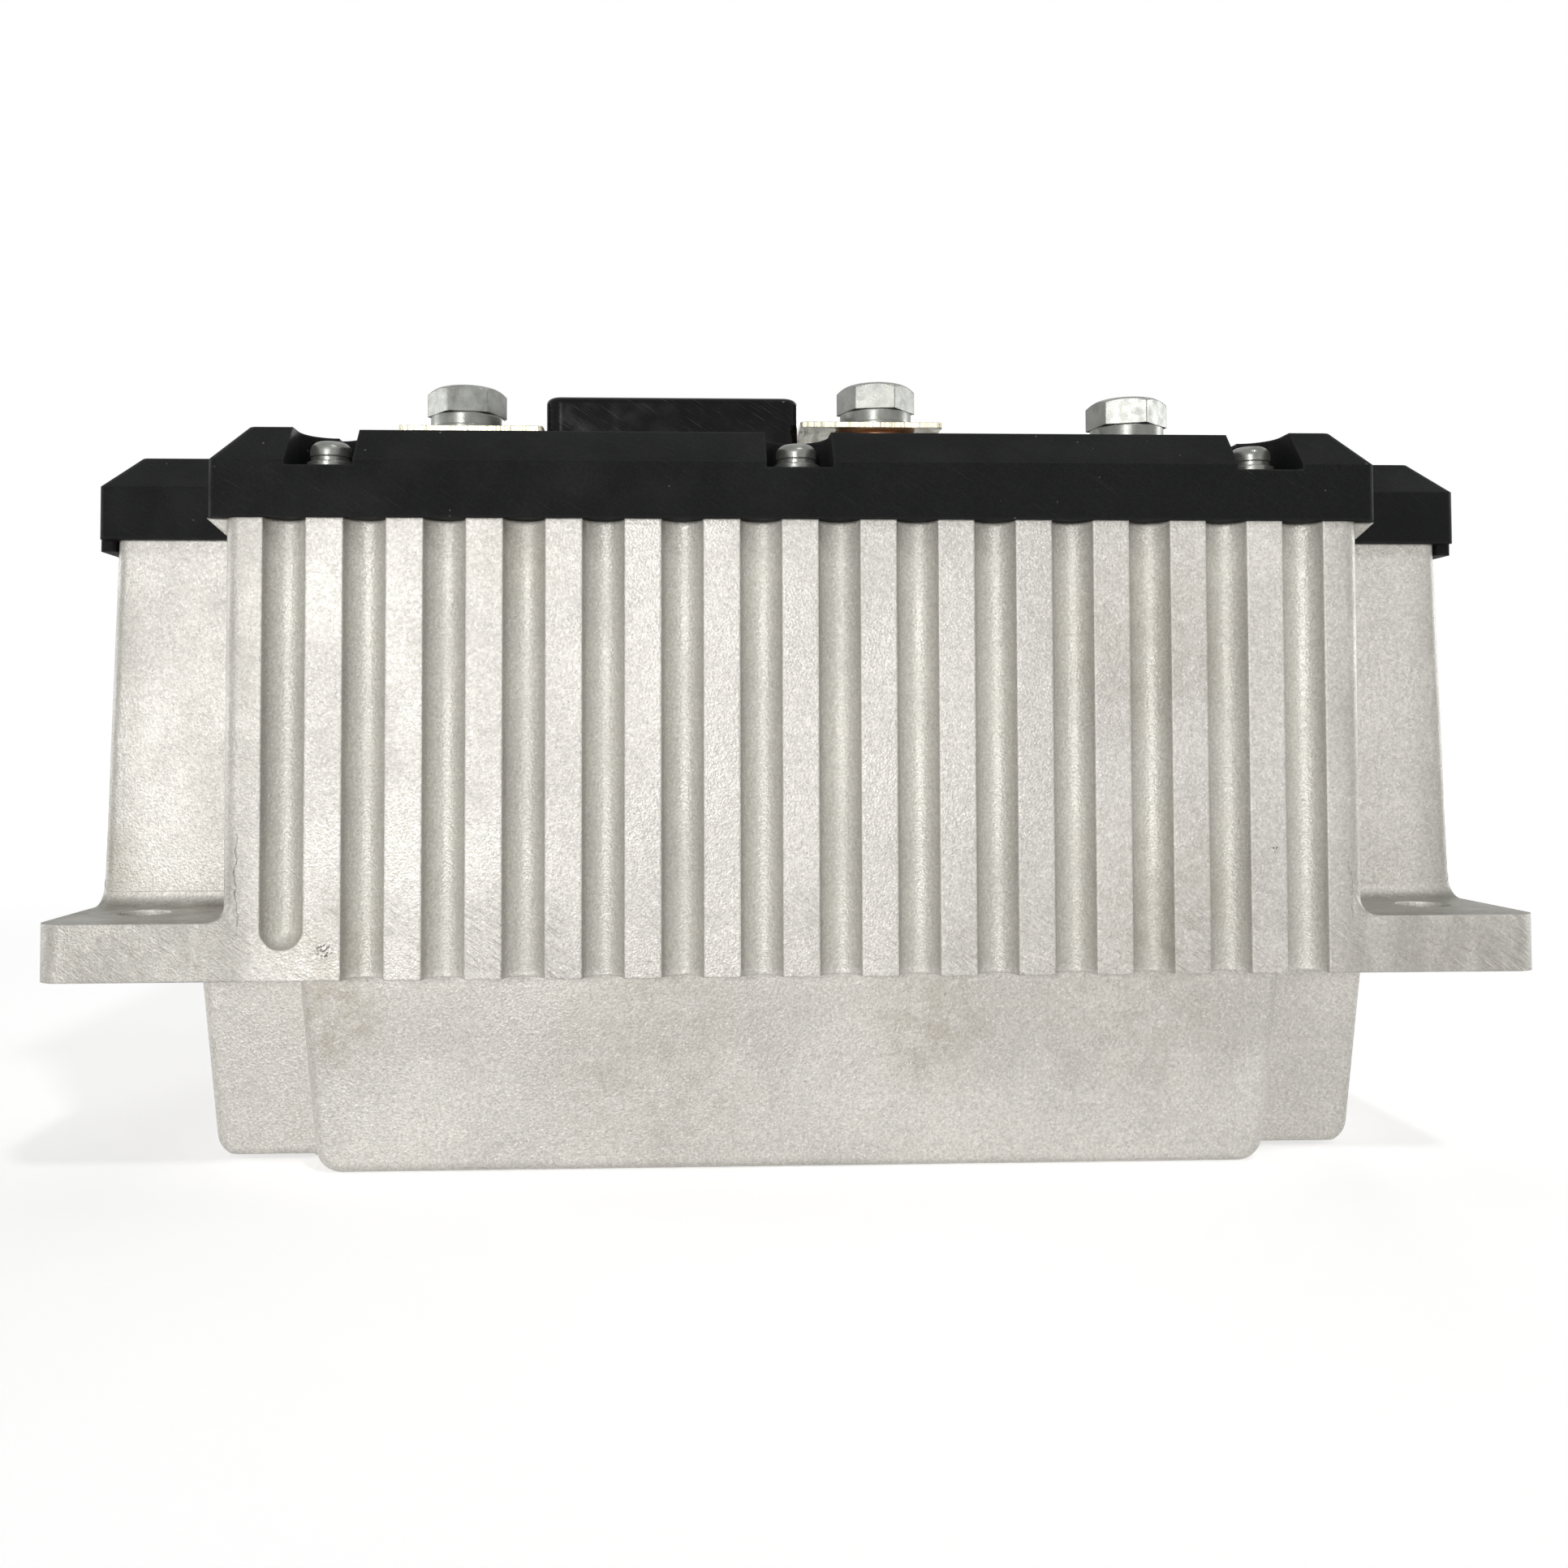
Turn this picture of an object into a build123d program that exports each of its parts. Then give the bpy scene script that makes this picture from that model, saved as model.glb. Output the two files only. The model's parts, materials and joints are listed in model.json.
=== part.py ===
from build123d import *
import math
import os

# Sealed charge controller: a die-cast aluminium housing that drops through a panel cut-out and
# bolts down by four ears, a black moulded cover, three screw terminals and a signal connector.
# Millimetres, +Z up. The origin is at the centre of the tub's underside. The fluted front faces -Y.

# ---- Housing casting ------------------------------------------------------------------------
BLOCK_WIDTH = 190.0       # fluted blocks
DEPTH = 170.0             # fluted front face to fluted back face
EAR_WIDTH = 30.0          # mounting ears past the block's sides
NOTCH_DEPTH = 27.5        # front face to the set-back face of a wing
WING_DRAFT = 2.0          # each side leans in by this much, ear to rim
TUB_HEIGHT = 35.7         # underside of the tub to underside of the ears
EAR_THICKNESS = 9.5
UPPER_HEIGHT = 76.0       # underside of the ears to the rim
WALL = 7.6
SHELF = 8.0               # thickness of the floor around the tub
EAR_CORNER_R = 4.0
WING_CORNER_R = 2.2
NOTCH_FILLET = 4.5
BLOCK_EDGE_R = 2.5
EAR_HOLE_R = 4.5          # clears an M8 mounting bolt
EAR_HOLE_INSET_X = 12.0   # ear's outer side to the hole
EAR_HOLE_INSET_Y = 16.0   # front face to the hole
FLUTE_COUNT = 14
FLUTE_PITCH = 13.1
FLUTE_R = 3.5
FLUTE_DEPTH = 3.6
BLIND_FLUTE_END = 5.0     # the first flute stops this far above the ears' underside
LUG = 3.2                 # bevelled rim lug along the block's side in each notch
LUG_HEIGHT = 2.8
LUG_SETBACK = 1.5

# ---- Lower tub ------------------------------------------------------------------------------
TUB_SIDE_SETBACK = 9.2    # block's side in to the middle part, at the ears
TUB_SETBACK = 12.5        # fluted face back to the middle part
WIDE_TUB_REACH = 11.0     # block's side out to the set-back part, at the ears
WIDE_TUB_SETBACK = 23.0
TUB_DRAFT = 2.8           # each side, over the tub's height
TUB_WALL = 5.5
TUB_FLOOR = 5.0
TUB_BOTTOM_R = 4.5
TUB_EDGE_R = 2.0
LAND_HEIGHT = 0.7         # machined foot under the tub
LAND_STEP = 0.5

# ---- Rim, gasket and cover screws ------------------------------------------------------------
GROOVE_INSET = 4.3        # outer wall face to the gasket groove
GROOVE_WIDTH = 1.5
GROOVE_DEPTH = 1.8
SCREW_INSET = 8.3         # outer wall face to the cover screws
SCREW_SIDE_INSET = 15.5   # block's side to the corner screws
SCREW_R = 2.0             # M4
SCREW_LENGTH = 20.0
SCREW_CLEARANCE = 0.2     # around a shank in a clearance hole
THREAD_CLEARANCE = 0.05   # around a shank in its tapped hole
BOSS_R = 5.2
BOSS_DEPTH = 20.0
TAPPED_DEPTH = 11.0

# ---- Cover ----------------------------------------------------------------------------------
COVER_BAND = 9.6          # upright band below the bevel
COVER_BEVEL = 6.4         # height of the bevel
BEVEL_RUN = 5.6           # inward run of the block's bevel, front and back
WING_BEVEL_RUN = 7.0      # inward run of the wings' bevel, front and back
SIDE_BEVEL_RUN = 4.9      # inward run of both bevels, left and right
OVER_FRONT = 0.8          # cover past the fluted faces
OVER_BLOCK = 2.6          # cover past the block's sides
OVER_WING = 2.6           # cover past the wings' outer sides
OVER_WING_FRONT = 1.9     # cover past the wings' set-back faces
COVER_TOP = 3.2           # thickness of the top
COVER_CORNER_R = 1.6
FIELD_DROP = 0.5          # middle of the top, below the corner pads
SCALLOP_R = 5.6
SCALLOP_DROP = 0.1        # screw seat below the start of the bevel
SCALLOP_RAMP = 0.9        # fall of the seat's ramp towards the edge
COVER_BOSS_R = 8.2
WASHER_MARGIN = 0.4       # flat seat past the washer
LIP_GAP = 0.4             # wing's side to the lip
LIP_PROUD = 0.6
LIP_DROP = 2.0
LIP_END_R = 0.8
LIP_SETBACK = 0.8         # wing's set-back face to the lip's end

# ---- Cover screw stack -----------------------------------------------------------------------
PAN_R = 3.5
PAN_HEIGHT = 2.7
PAN_CROWN = 0.62          # crown radius, as a share of the head's height
CROSS_REACH = 0.52        # cross recess, as shares of the head's radius
CROSS_HALF = 0.10
CROSS_FLOOR = 0.45        # recess floor, as a share of the head's height
SMALL_SPRING_R = 3.35
SMALL_WASHER_R = 4.0
SMALL_WASHER_T = 0.9

# ---- Terminals -------------------------------------------------------------------------------
RIGHT_SIDE_INSET = 29.5   # block's side to the right terminal
PLATE_GAP = 0.4           # connector to the plates beside it
TERMINAL_INSET = 39.0     # fluted face to the left and middle terminals
RIGHT_INSET = 33.0
POST_R = 8.0
LEFT_RISE = 5.3           # middle of the cover up to each post's top
MIDDLE_RISE = 6.4
RIGHT_RISE = 3.5
POST_BORE_DEPTH = 20.0
PLATE_WIDTH = 26.8
PLATE_DEPTH = 20.0
PLATE_T = 1.0
PLATE_SHIFT = 2.0         # plates reach further towards the connector
PLATE_HOLE_R = 4.3
BOLT_R = 3.95             # M8 shank
BOLT_LENGTH = 18.0
BOLT_FIT = 0.05           # radial clearance in the post
HEX_FLATS = 13.0
HEX_HEIGHT = 5.3
LEFT_BOLT_TURN = 8.0      # degrees
MIDDLE_BOLT_TURN = -8.0
RIGHT_BOLT_TURN = -17.0
WASHER_R = 7.3
WASHER_T = 1.1
WASHER_BORE_R = 4.2
SPRING_R = 6.9
SPRING_T = 2.2
SPRING_BORE_R = 4.1
SPRING_GAP = 1.2
SEAL_WALL = 2.0
SEAL_FIT = 0.05

# ---- Signal connector -------------------------------------------------------------------------
SOCKET_X = -21.5
SOCKET_INSET = 41.0       # fluted face to the connector's middle
SOCKET_WIDTH = 47.4
SOCKET_DEPTH = 22.0
SOCKET_RISE = 12.2        # above the middle of the cover
SOCKET_WALL = 2.0
SOCKET_FLOOR = 3.0
SOCKET_CORNER_R = 3.0
SOCKET_EDGE_R = 1.2
SOCKET_FLANGE = 3.0
SOCKET_FLANGE_T = 2.0
SOCKET_SEAL_T = 1.0
SOCKET_FIT = 0.2
PIN_R = 0.5
PIN_COLUMNS = 12
PIN_ROWS = 2
PIN_PITCH = 3.2
PIN_ROW_PITCH = 6.0
PIN_BELOW_MOUTH = 7.5
PIN_FIT = 0.04

# ---- Boards -----------------------------------------------------------------------------------
POWER_BOARD_RISE = 11.0   # shelf to the power board
POWER_BOARD_T = 2.4
POWER_BOARD_GAP = 1.4     # to the walls
CONTROL_BOARD_DROP = 5.0  # rim to the underside of the control board
CONTROL_BOARD_T = 1.6
CONTROL_GAP_X = 7.4       # to the walls
CONTROL_GAP_Y = 8.4
STANDOFF_R = 3.5
BOARD_SCREW_R = 1.5
BOARD_SCREW_HEAD_R = 2.8
BOARD_SCREW_HEAD_T = 2.0
BOARD_SCREW_LENGTH = 8.0
POST_GAP = 3.0            # control board around the posts
CONTROL_EDGE = 7.0        # board edge to its standoffs
CONTROL_FRONT_X = (-36.0, 42.0)  # front standoffs, between the posts
NUT_FLATS = 5.5
NUT_T = 2.4
STUD_LENGTH = 5.2
LINK_SIZE = (40.0, 6.0)
LINK_Y = 57.0
PROCESSOR_SIZE = (14.0, 14.0, 1.5)
PROCESSOR_AT = (27.0, 17.0)
DRIVER_SIZE = (8.0, 5.0, 2.0)
DRIVER_X = (-45.0, -15.0, 15.0, 45.0)
DRIVER_Y = 42.0
TRANSFORMER_SIZE = (20.0, 18.0, 11.0)
TRANSFORMER_AT = (-30.0, 12.0)

# ---- Power stage ------------------------------------------------------------------------------
FET_WIDTH = 15.9
FET_HEIGHT = 20.8
FET_T = 5.0
FET_PAD_T = 0.5
FET_LEAD = 5.0            # board to the body
LEAD_PITCH = 5.45
LEAD_WIDTH = 1.2
LEAD_T = 0.6
FET_FIRST_X = 15.0
FET_PITCH = 22.0
FETS_PER_BAR = 3
BAR_HEIGHT = 9.0
BAR_T = 2.5
BAR_SCREW_LENGTH = 11.0
BUSBAR_T = 4.0
BUSBAR_WIDTH = 22.0
BUSBAR_LENGTH = 68.0
BUSBAR_FRONT = 11.0       # post's axis to the busbar's front end
BUSBAR_SCREW_END = 7.0    # busbar's back end to its screw
POST_SCREW_R = 2.95       # M6 from below the board
POST_SCREW_HEAD_R = 5.0
POST_SCREW_HEAD_T = 3.2
POST_SCREW_LENGTH = 18.0
BULK_R = 12.5
BULK_HEIGHT = 36.0
BULK_PITCH_X = 28.0
BULK_PITCH_Y = 30.0
BULK_Y = 6.0
FILM_SIZE = (32.0, 18.0, 28.0)
FILM_X = (-54.0, -18.0, 18.0, 54.0)
FILM_Y = 38.0
SENSOR_R = 15.0
SENSOR_HEIGHT = 12.0

# ---- Storage chokes in the tub ----------------------------------------------------------------
CHOKE_GAP = 7.8           # to the tub's side walls
CHOKE_WIDTH = 56.0
CHOKE_DEPTH = 50.0
CUSHION_T = 2.7
CUSHION_SETBACK = 4.0
CHOKE_YOKE = 6.0
CHOKE_LEG_R = 11.0
CHOKE_WINDOW_R = 22.0
COIL_FIT = 0.5
CHOKE_PAD_T = 1.0
STRAP_WIDTH = 20.0
STRAP_T = 2.0
STRAP_END = 3.5           # strap's end to the wall
STRAP_SCREW_LENGTH = 6.0

# ---- Worked out from the sizes above ----------------------------------------------------------
WIDTH = BLOCK_WIDTH + 2 * EAR_WIDTH
EAR_TOP = TUB_HEIGHT + EAR_THICKNESS
RIM = TUB_HEIGHT + UPPER_HEIGHT
SHELF_TOP = TUB_HEIGHT + SHELF
BLOCK_HALF = BLOCK_WIDTH / 2
FACE = DEPTH / 2
WING_TOP_HALF = WIDTH / 2 - WING_DRAFT
WING_FACE = FACE - NOTCH_DEPTH
BEVEL_START = RIM + COVER_BAND
COVER_Z = BEVEL_START + COVER_BEVEL
FIELD_Z = COVER_Z - FIELD_DROP
CEILING = FIELD_Z - COVER_TOP
SEAT = BEVEL_START - SCALLOP_DROP
SCREW_X = BLOCK_HALF - SCREW_SIDE_INSET
SCREW_PLACES = [(x, s * (FACE - SCREW_INSET)) for s in (-1, 1) for x in (-SCREW_X, 0, SCREW_X)]
SCREW_PLACES += [(s * (WING_TOP_HALF - SCREW_INSET), 0) for s in (-1, 1)]
TERMINAL_REACH = SOCKET_WIDTH / 2 + PLATE_GAP + PLATE_WIDTH / 2 + PLATE_SHIFT
TERMINAL_Y = -FACE + TERMINAL_INSET
RIGHT_Y = -FACE + RIGHT_INSET
SOCKET_Y = -FACE + SOCKET_INSET
SOCKET_TOP = FIELD_Z + SOCKET_RISE
POWER_BOARD_Z = SHELF_TOP + POWER_BOARD_RISE
POWER_TOP = POWER_BOARD_Z + POWER_BOARD_T
CONTROL_BOARD_Z = RIM - CONTROL_BOARD_DROP
CONTROL_TOP = CONTROL_BOARD_Z + CONTROL_BOARD_T
BUSBAR_TOP = POWER_TOP + BUSBAR_T
INNER_X = BLOCK_HALF - WALL
INNER_Y = FACE - WALL
INNER_WING_X = WING_TOP_HALF - WALL
INNER_WING_Y = WING_FACE - WALL
TUB_HALF = BLOCK_HALF - TUB_SIDE_SETBACK
WIDE_TUB_HALF = BLOCK_HALF + WIDE_TUB_REACH
TUB_INNER_X = TUB_HALF - TUB_DRAFT - TUB_WALL
TUB_INNER_Y = FACE - TUB_SETBACK - TUB_DRAFT - TUB_WALL
WIDE_INNER_X = WIDE_TUB_HALF - TUB_DRAFT - TUB_WALL
WIDE_INNER_Y = FACE - WIDE_TUB_SETBACK - TUB_DRAFT - TUB_WALL
LEFT_POST = FIELD_Z + LEFT_RISE
MIDDLE_POST = FIELD_Z + MIDDLE_RISE
RIGHT_POST = FIELD_Z + RIGHT_RISE
LEFT_X = SOCKET_X - TERMINAL_REACH
MIDDLE_X = SOCKET_X + TERMINAL_REACH
RIGHT_X = BLOCK_HALF - RIGHT_SIDE_INSET
TERMINALS = {             # x, y, post's top, bolt's seat, plate's shift, bolt's turn
    "left": (LEFT_X, TERMINAL_Y, LEFT_POST, LEFT_POST + PLATE_T, PLATE_SHIFT, LEFT_BOLT_TURN),
    "middle": (MIDDLE_X, TERMINAL_Y, MIDDLE_POST, MIDDLE_POST + PLATE_T, -PLATE_SHIFT, MIDDLE_BOLT_TURN),
    "right": (RIGHT_X, RIGHT_Y, RIGHT_POST, RIGHT_POST, 0.0, RIGHT_BOLT_TURN),
}
STANDOFF_PLACES = [(sx * (INNER_X - 6.4), sy * (TUB_INNER_Y - 1.0)) for sx in (-1, 1) for sy in (-1, 1)]
STANDOFF_PLACES += [(0.0, s * (TUB_INNER_Y + INNER_Y) / 2) for s in (-1, 1)]
CONTROL_HALF_X = INNER_X - CONTROL_GAP_X
CONTROL_HALF_Y = INNER_Y - CONTROL_GAP_Y
CONTROL_Y = CONTROL_HALF_Y - CONTROL_EDGE
CONTROL_PLACES = [(x, -CONTROL_Y) for x in CONTROL_FRONT_X]
CONTROL_PLACES += [(s * (CONTROL_HALF_X - CONTROL_EDGE), CONTROL_Y) for s in (-1, 1)]
BUSBAR_END = BUSBAR_LENGTH - BUSBAR_FRONT     # post's axis to the busbar's back end
BUSBAR_SCREWS = [(x, y + BUSBAR_END - BUSBAR_SCREW_END) for x, y, *_ in TERMINALS.values()]
CHOKE_X = WIDE_INNER_X - CHOKE_GAP - CHOKE_WIDTH / 2
CHOKE_TOP = SHELF_TOP - CUSHION_T

os.makedirs("parts", exist_ok=True)


def block(x0, x1, y0, y1, z0, z1):
    """Box between two opposite corners."""
    return Pos((x0 + x1) / 2, (y0 + y1) / 2, (z0 + z1) / 2) * Box(x1 - x0, y1 - y0, z1 - z0)


def centred(half_x, half_y, z0, z1):
    """Box about the vertical axis."""
    return block(-half_x, half_x, -half_y, half_y, z0, z1)


def rod(x, y, z0, z1, radius):
    """Upright cylinder."""
    return Pos(x, y, (z0 + z1) / 2) * Cylinder(radius, z1 - z0)


def ring(x, y, z0, z1, inner, outer):
    """Upright tube."""
    return rod(x, y, z0, z1, outer) - rod(x, y, z0 - 1, z1 + 1, inner)


def rounded(x, y, half_x, half_y, z0, z1, radius):
    """Box with rounded upright corners."""
    return Pos(x, y, z0) * extrude(RectangleRounded(2 * half_x, 2 * half_y, radius), z1 - z0)


def tapered(lower_x, lower_y, z0, upper_x, upper_y, z1):
    """Block with flat sides whose half sizes change from z0 to z1."""
    turns = [(-1, -1), (1, -1), (1, 1), (-1, 1)]
    low = [(lower_x * sx, lower_y * sy, z0) for sx, sy in turns]
    top = [(upper_x * sx, upper_y * sy, z1) for sx, sy in turns]
    loops = [low, top] + [[low[i - 1], low[i], top[i], top[i - 1]] for i in range(4)]
    return Solid(Shell([Face(Wire.make_polygon(loop)) for loop in loops]))


def plus_shape(inset, z0, z1):
    """Housing outline at the rim, moved in by inset."""
    return centred(BLOCK_HALF - inset, FACE - inset, z0, z1) + centred(
        WING_TOP_HALF - inset, WING_FACE - inset, z0, z1)


def upright_edges(solid, z0, z1):
    """Edges that run most of the way from z0 to z1."""
    return [e for e in solid.edges()
            if e.bounding_box().size.Z > 0.8 * (z1 - z0) and z0 - 0.1 < e.center().Z < z1 + 0.1]


def group(*solids):
    """Separate solids that share one node."""
    return Compound(children=[s for item in solids for s in item.solids()])


def save(name, shape):
    """Write one node."""
    shape = shape if isinstance(shape, Compound) else Compound(children=[shape])
    export_step(shape, os.path.join("parts", name + ".step"))


# ---- Housing ------------------------------------------------------------------------------------
def tub_outside():
    """Stepped lower tub with draft, rounded lower side edges and a machined foot."""
    y, wide_y = FACE - TUB_SETBACK, FACE - WIDE_TUB_SETBACK
    parts = []
    for hx, hy in ((TUB_HALF, y), (WIDE_TUB_HALF, wide_y)):
        part = tapered(hx - TUB_DRAFT, hy - TUB_DRAFT, 0, hx, hy, TUB_HEIGHT)
        low = [e for e in part.edges() if e.center().Z < 0.01 and abs(e.center().Y) < 0.01]
        part = fillet(low, TUB_BOTTOM_R)
        parts.append(fillet(upright_edges(part, 0, TUB_HEIGHT), TUB_EDGE_R))
    foot = centred(TUB_HALF, y - TUB_DRAFT - LAND_STEP, -1, LAND_HEIGHT)
    rim = centred(WIDE_TUB_HALF, y, -1, LAND_HEIGHT) - foot
    return parts[0] + parts[1] - rim


def upper_outside():
    """Fluted block and drafted wings on a flange whose corners are the ears."""
    flange = rounded(0, 0, WIDTH / 2, FACE, TUB_HEIGHT, EAR_TOP, EAR_CORNER_R)
    middle = centred(BLOCK_HALF, FACE, TUB_HEIGHT, RIM)
    middle = fillet(upright_edges(middle, TUB_HEIGHT, RIM), BLOCK_EDGE_R)
    wings = tapered(WIDTH / 2, WING_FACE, EAR_TOP, WING_TOP_HALF, WING_FACE, RIM)
    wings = fillet(upright_edges(wings, EAR_TOP, RIM), WING_CORNER_R)
    body = middle + wings
    corners = [e for e in upright_edges(body, EAR_TOP, RIM)
               if abs(abs(e.center().X) - BLOCK_HALF) < 0.2 and abs(abs(e.center().Y) - WING_FACE) < 0.2]
    return fillet(corners, NOTCH_FILLET) + flange


def lug_pair(sx):
    """Bevelled lug, front notch to back notch, on one side of the block."""
    x = sx * BLOCK_HALF
    low = RIM - LUG_HEIGHT
    outline = [(x - sx, 0, RIM), (x + sx * LUG, 0, RIM), (x, 0, low), (x - sx, 0, low)]
    half = FACE - LUG_SETBACK
    return Pos(0, half, 0) * extrude(make_face(Polyline(*outline, close=True)), 2 * half, dir=(0, -1, 0))


def flutes():
    """Round grooves down both faces; the first on each face is blind."""
    cuts = []
    axis = FACE - (FLUTE_DEPTH - FLUTE_R)
    first = -FLUTE_PITCH * (FLUTE_COUNT - 1) / 2
    for side in (-1, 1):
        for i in range(FLUTE_COUNT):
            x = -side * (first + i * FLUTE_PITCH)
            if i == 0:
                end = TUB_HEIGHT + BLIND_FLUTE_END + FLUTE_R
                cuts.append(rod(x, side * axis, end, RIM + 1, FLUTE_R))
                cuts.append(Pos(x, side * axis, end) * Sphere(FLUTE_R))
            else:
                cuts.append(rod(x, side * axis, TUB_HEIGHT - 1, RIM + 1, FLUTE_R))
    return cuts


def housing_cavity():
    """Space inside: upper room down to the shelf, and the stepped tub below it."""
    upper = plus_shape(WALL, SHELF_TOP, RIM + 1)
    middle = centred(TUB_INNER_X, TUB_INNER_Y, TUB_FLOOR, SHELF_TOP + 1)
    wide = centred(WIDE_INNER_X, min(WIDE_INNER_Y, INNER_WING_Y), TUB_FLOOR, SHELF_TOP + 1)
    step = centred(min(WIDE_INNER_X, INNER_X), WIDE_INNER_Y, TUB_FLOOR, SHELF_TOP + 1)
    return [upper, middle, wide, step]


def screw_bosses():
    """Cover screw bosses inside the rim, each with a sloped root."""
    bosses = []
    for x, y in SCREW_PLACES:
        boss = rod(x, y, RIM - BOSS_DEPTH, RIM, BOSS_R)
        root = Pos(x, y, RIM - BOSS_DEPTH - BOSS_R / 2) * Cone(BOSS_R * 0.4, BOSS_R, BOSS_R)
        bosses += [boss, root]
    return bosses


def ear_places():
    """Mounting holes, one in each ear."""
    x, y = WIDTH / 2 - EAR_HOLE_INSET_X, FACE - EAR_HOLE_INSET_Y
    return [(sx * x, sy * y) for sx in (-1, 1) for sy in (-1, 1)]


def strap_screw_places():
    """Screws through the choke straps into the shelf."""
    y = (TUB_INNER_Y + INNER_Y - STRAP_END) / 2    # middle of the shelf under the strap
    return [(sx * CHOKE_X, sy * y) for sx in (-1, 1) for sy in (-1, 1)]


def bar_screw_places():
    """Clamp bar screws, between the transistors."""
    xs = [FET_FIRST_X + (i + 0.5) * FET_PITCH for i in range(FETS_PER_BAR - 1)]
    return [(sx * x, sy) for sy in (-1, 1) for sx in (-1, 1) for x in xs]


def bar_z():
    """Height of the clamp bars' middle."""
    return POWER_TOP + FET_LEAD + FET_HEIGHT / 2


def housing():
    """Whole casting."""
    body = upper_outside() + tub_outside()
    for sx in (-1, 1):
        body += lug_pair(sx)
    body -= flutes()
    body -= housing_cavity()
    inside = plus_shape(WALL - 1.0, SHELF_TOP, RIM)
    for boss in screw_bosses():
        body += boss & inside
    body -= plus_shape(GROOVE_INSET, RIM - GROOVE_DEPTH, RIM + 1) - plus_shape(
        GROOVE_INSET + GROOVE_WIDTH, RIM - GROOVE_DEPTH - 1, RIM + 2)
    body -= [rod(x, y, RIM - TAPPED_DEPTH, RIM + 1, SCREW_R + THREAD_CLEARANCE) for x, y in SCREW_PLACES]
    body -= [rod(x, y, TUB_HEIGHT - 1, EAR_TOP + 1, EAR_HOLE_R) for x, y in ear_places()]
    tapped = BOARD_SCREW_R + THREAD_CLEARANCE
    body -= [rod(x, y, SHELF_TOP - 6, SHELF_TOP + 1, tapped) for x, y in strap_screw_places()]
    reach = BAR_SCREW_LENGTH - BAR_T - FET_T - FET_PAD_T + 0.5
    body -= [Pos(x, s * (INNER_Y + reach / 2 - 0.5), bar_z()) * Rot(90, 0, 0) * Cylinder(tapped, reach + 1)
             for x, s in bar_screw_places()]
    return body


def gasket():
    """Seal that fills the rim groove up to the cover."""
    inset = GROOVE_INSET + SEAL_FIT
    outer = plus_shape(inset, RIM - GROOVE_DEPTH, RIM)
    return outer - plus_shape(inset + GROOVE_WIDTH - 2 * SEAL_FIT, RIM - GROOVE_DEPTH - 1, RIM + 1)


# ---- Cover --------------------------------------------------------------------------------------
def bevelled(half_x, half_y, run):
    """Upright band with a sloped top edge and rounded corners; run is the slope's, front and back."""
    band = rounded(0, 0, half_x, half_y, RIM, BEVEL_START, COVER_CORNER_R)
    low = Pos(0, 0, BEVEL_START) * RectangleRounded(2 * half_x, 2 * half_y, COVER_CORNER_R)
    top_x, top_y = half_x - SIDE_BEVEL_RUN, half_y - run
    top = Pos(0, 0, COVER_Z) * RectangleRounded(2 * top_x, 2 * top_y, COVER_CORNER_R)
    return band + loft([low.face(), top.face()])


def scallop(x, y):
    """Recess around a cover screw, open to the nearest edge by a falling ramp."""
    edge = SCREW_INSET + (OVER_FRONT if y else OVER_WING)
    out = edge + 1
    top = COVER_Z + 1
    low = SEAT - SCALLOP_RAMP * out / edge
    wedge = Polyline((0, SEAT), (out, low), (out, top), (0, top), close=True)
    slot = Pos(0, SCALLOP_R, 0) * extrude(make_face(Plane.XZ * wedge), 2 * SCALLOP_R, dir=(0, -1, 0))
    angle = math.copysign(90, y) if y else (0 if x > 0 else 180)
    washer_floor = rod(x, y, low - 1, SEAT, SMALL_WASHER_R + WASHER_MARGIN)
    return [rod(x, y, SEAT, top, SCALLOP_R), (Pos(x, y, 0) * Rot(0, 0, angle) * slot) - washer_floor]


def cover_cavity():
    """Hollow under the top, less the bosses around the screws."""
    room = plus_shape(WALL, RIM - 1, CEILING)
    return room - [rod(x, y, RIM - 2, COVER_Z, COVER_BOSS_R) for x, y in SCREW_PLACES]


def lips():
    """Drip lip below the cover along each short side."""
    inner, outer = WING_TOP_HALF + LIP_GAP, WING_TOP_HALF + OVER_WING + LIP_PROUD
    middle, half = (inner + outer) / 2, (outer - inner) / 2
    length = WING_FACE - LIP_SETBACK
    return [rounded(s * middle, 0, half, length, RIM - LIP_DROP, RIM + LIP_DROP, LIP_END_R) for s in (-1, 1)]


def terminal_places():
    """Plan position of each terminal."""
    return [(t[0], t[1]) for t in TERMINALS.values()]


def cover():
    """Moulded cover."""
    body = bevelled(BLOCK_HALF + OVER_BLOCK, FACE + OVER_FRONT, BEVEL_RUN)
    body += bevelled(WING_TOP_HALF + OVER_WING, WING_FACE + OVER_WING_FRONT, WING_BEVEL_RUN)
    body += lips()
    body -= centred(SCREW_X, DEPTH, FIELD_Z, COVER_Z + 1)
    for x, y in SCREW_PLACES:
        body -= scallop(x, y)
    body -= cover_cavity()
    body -= [rod(x, y, RIM - 1, COVER_Z, SCREW_R + SCREW_CLEARANCE) for x, y in SCREW_PLACES]
    body -= [rod(x, y, RIM, COVER_Z + 1, POST_R + SEAL_WALL) for x, y in terminal_places()]
    half_x, half_y = SOCKET_WIDTH / 2 + SOCKET_FIT, SOCKET_DEPTH / 2 + SOCKET_FIT
    body -= rounded(SOCKET_X, SOCKET_Y, half_x, half_y, RIM, COVER_Z + 1, SOCKET_CORNER_R + SOCKET_FIT)
    return body


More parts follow.
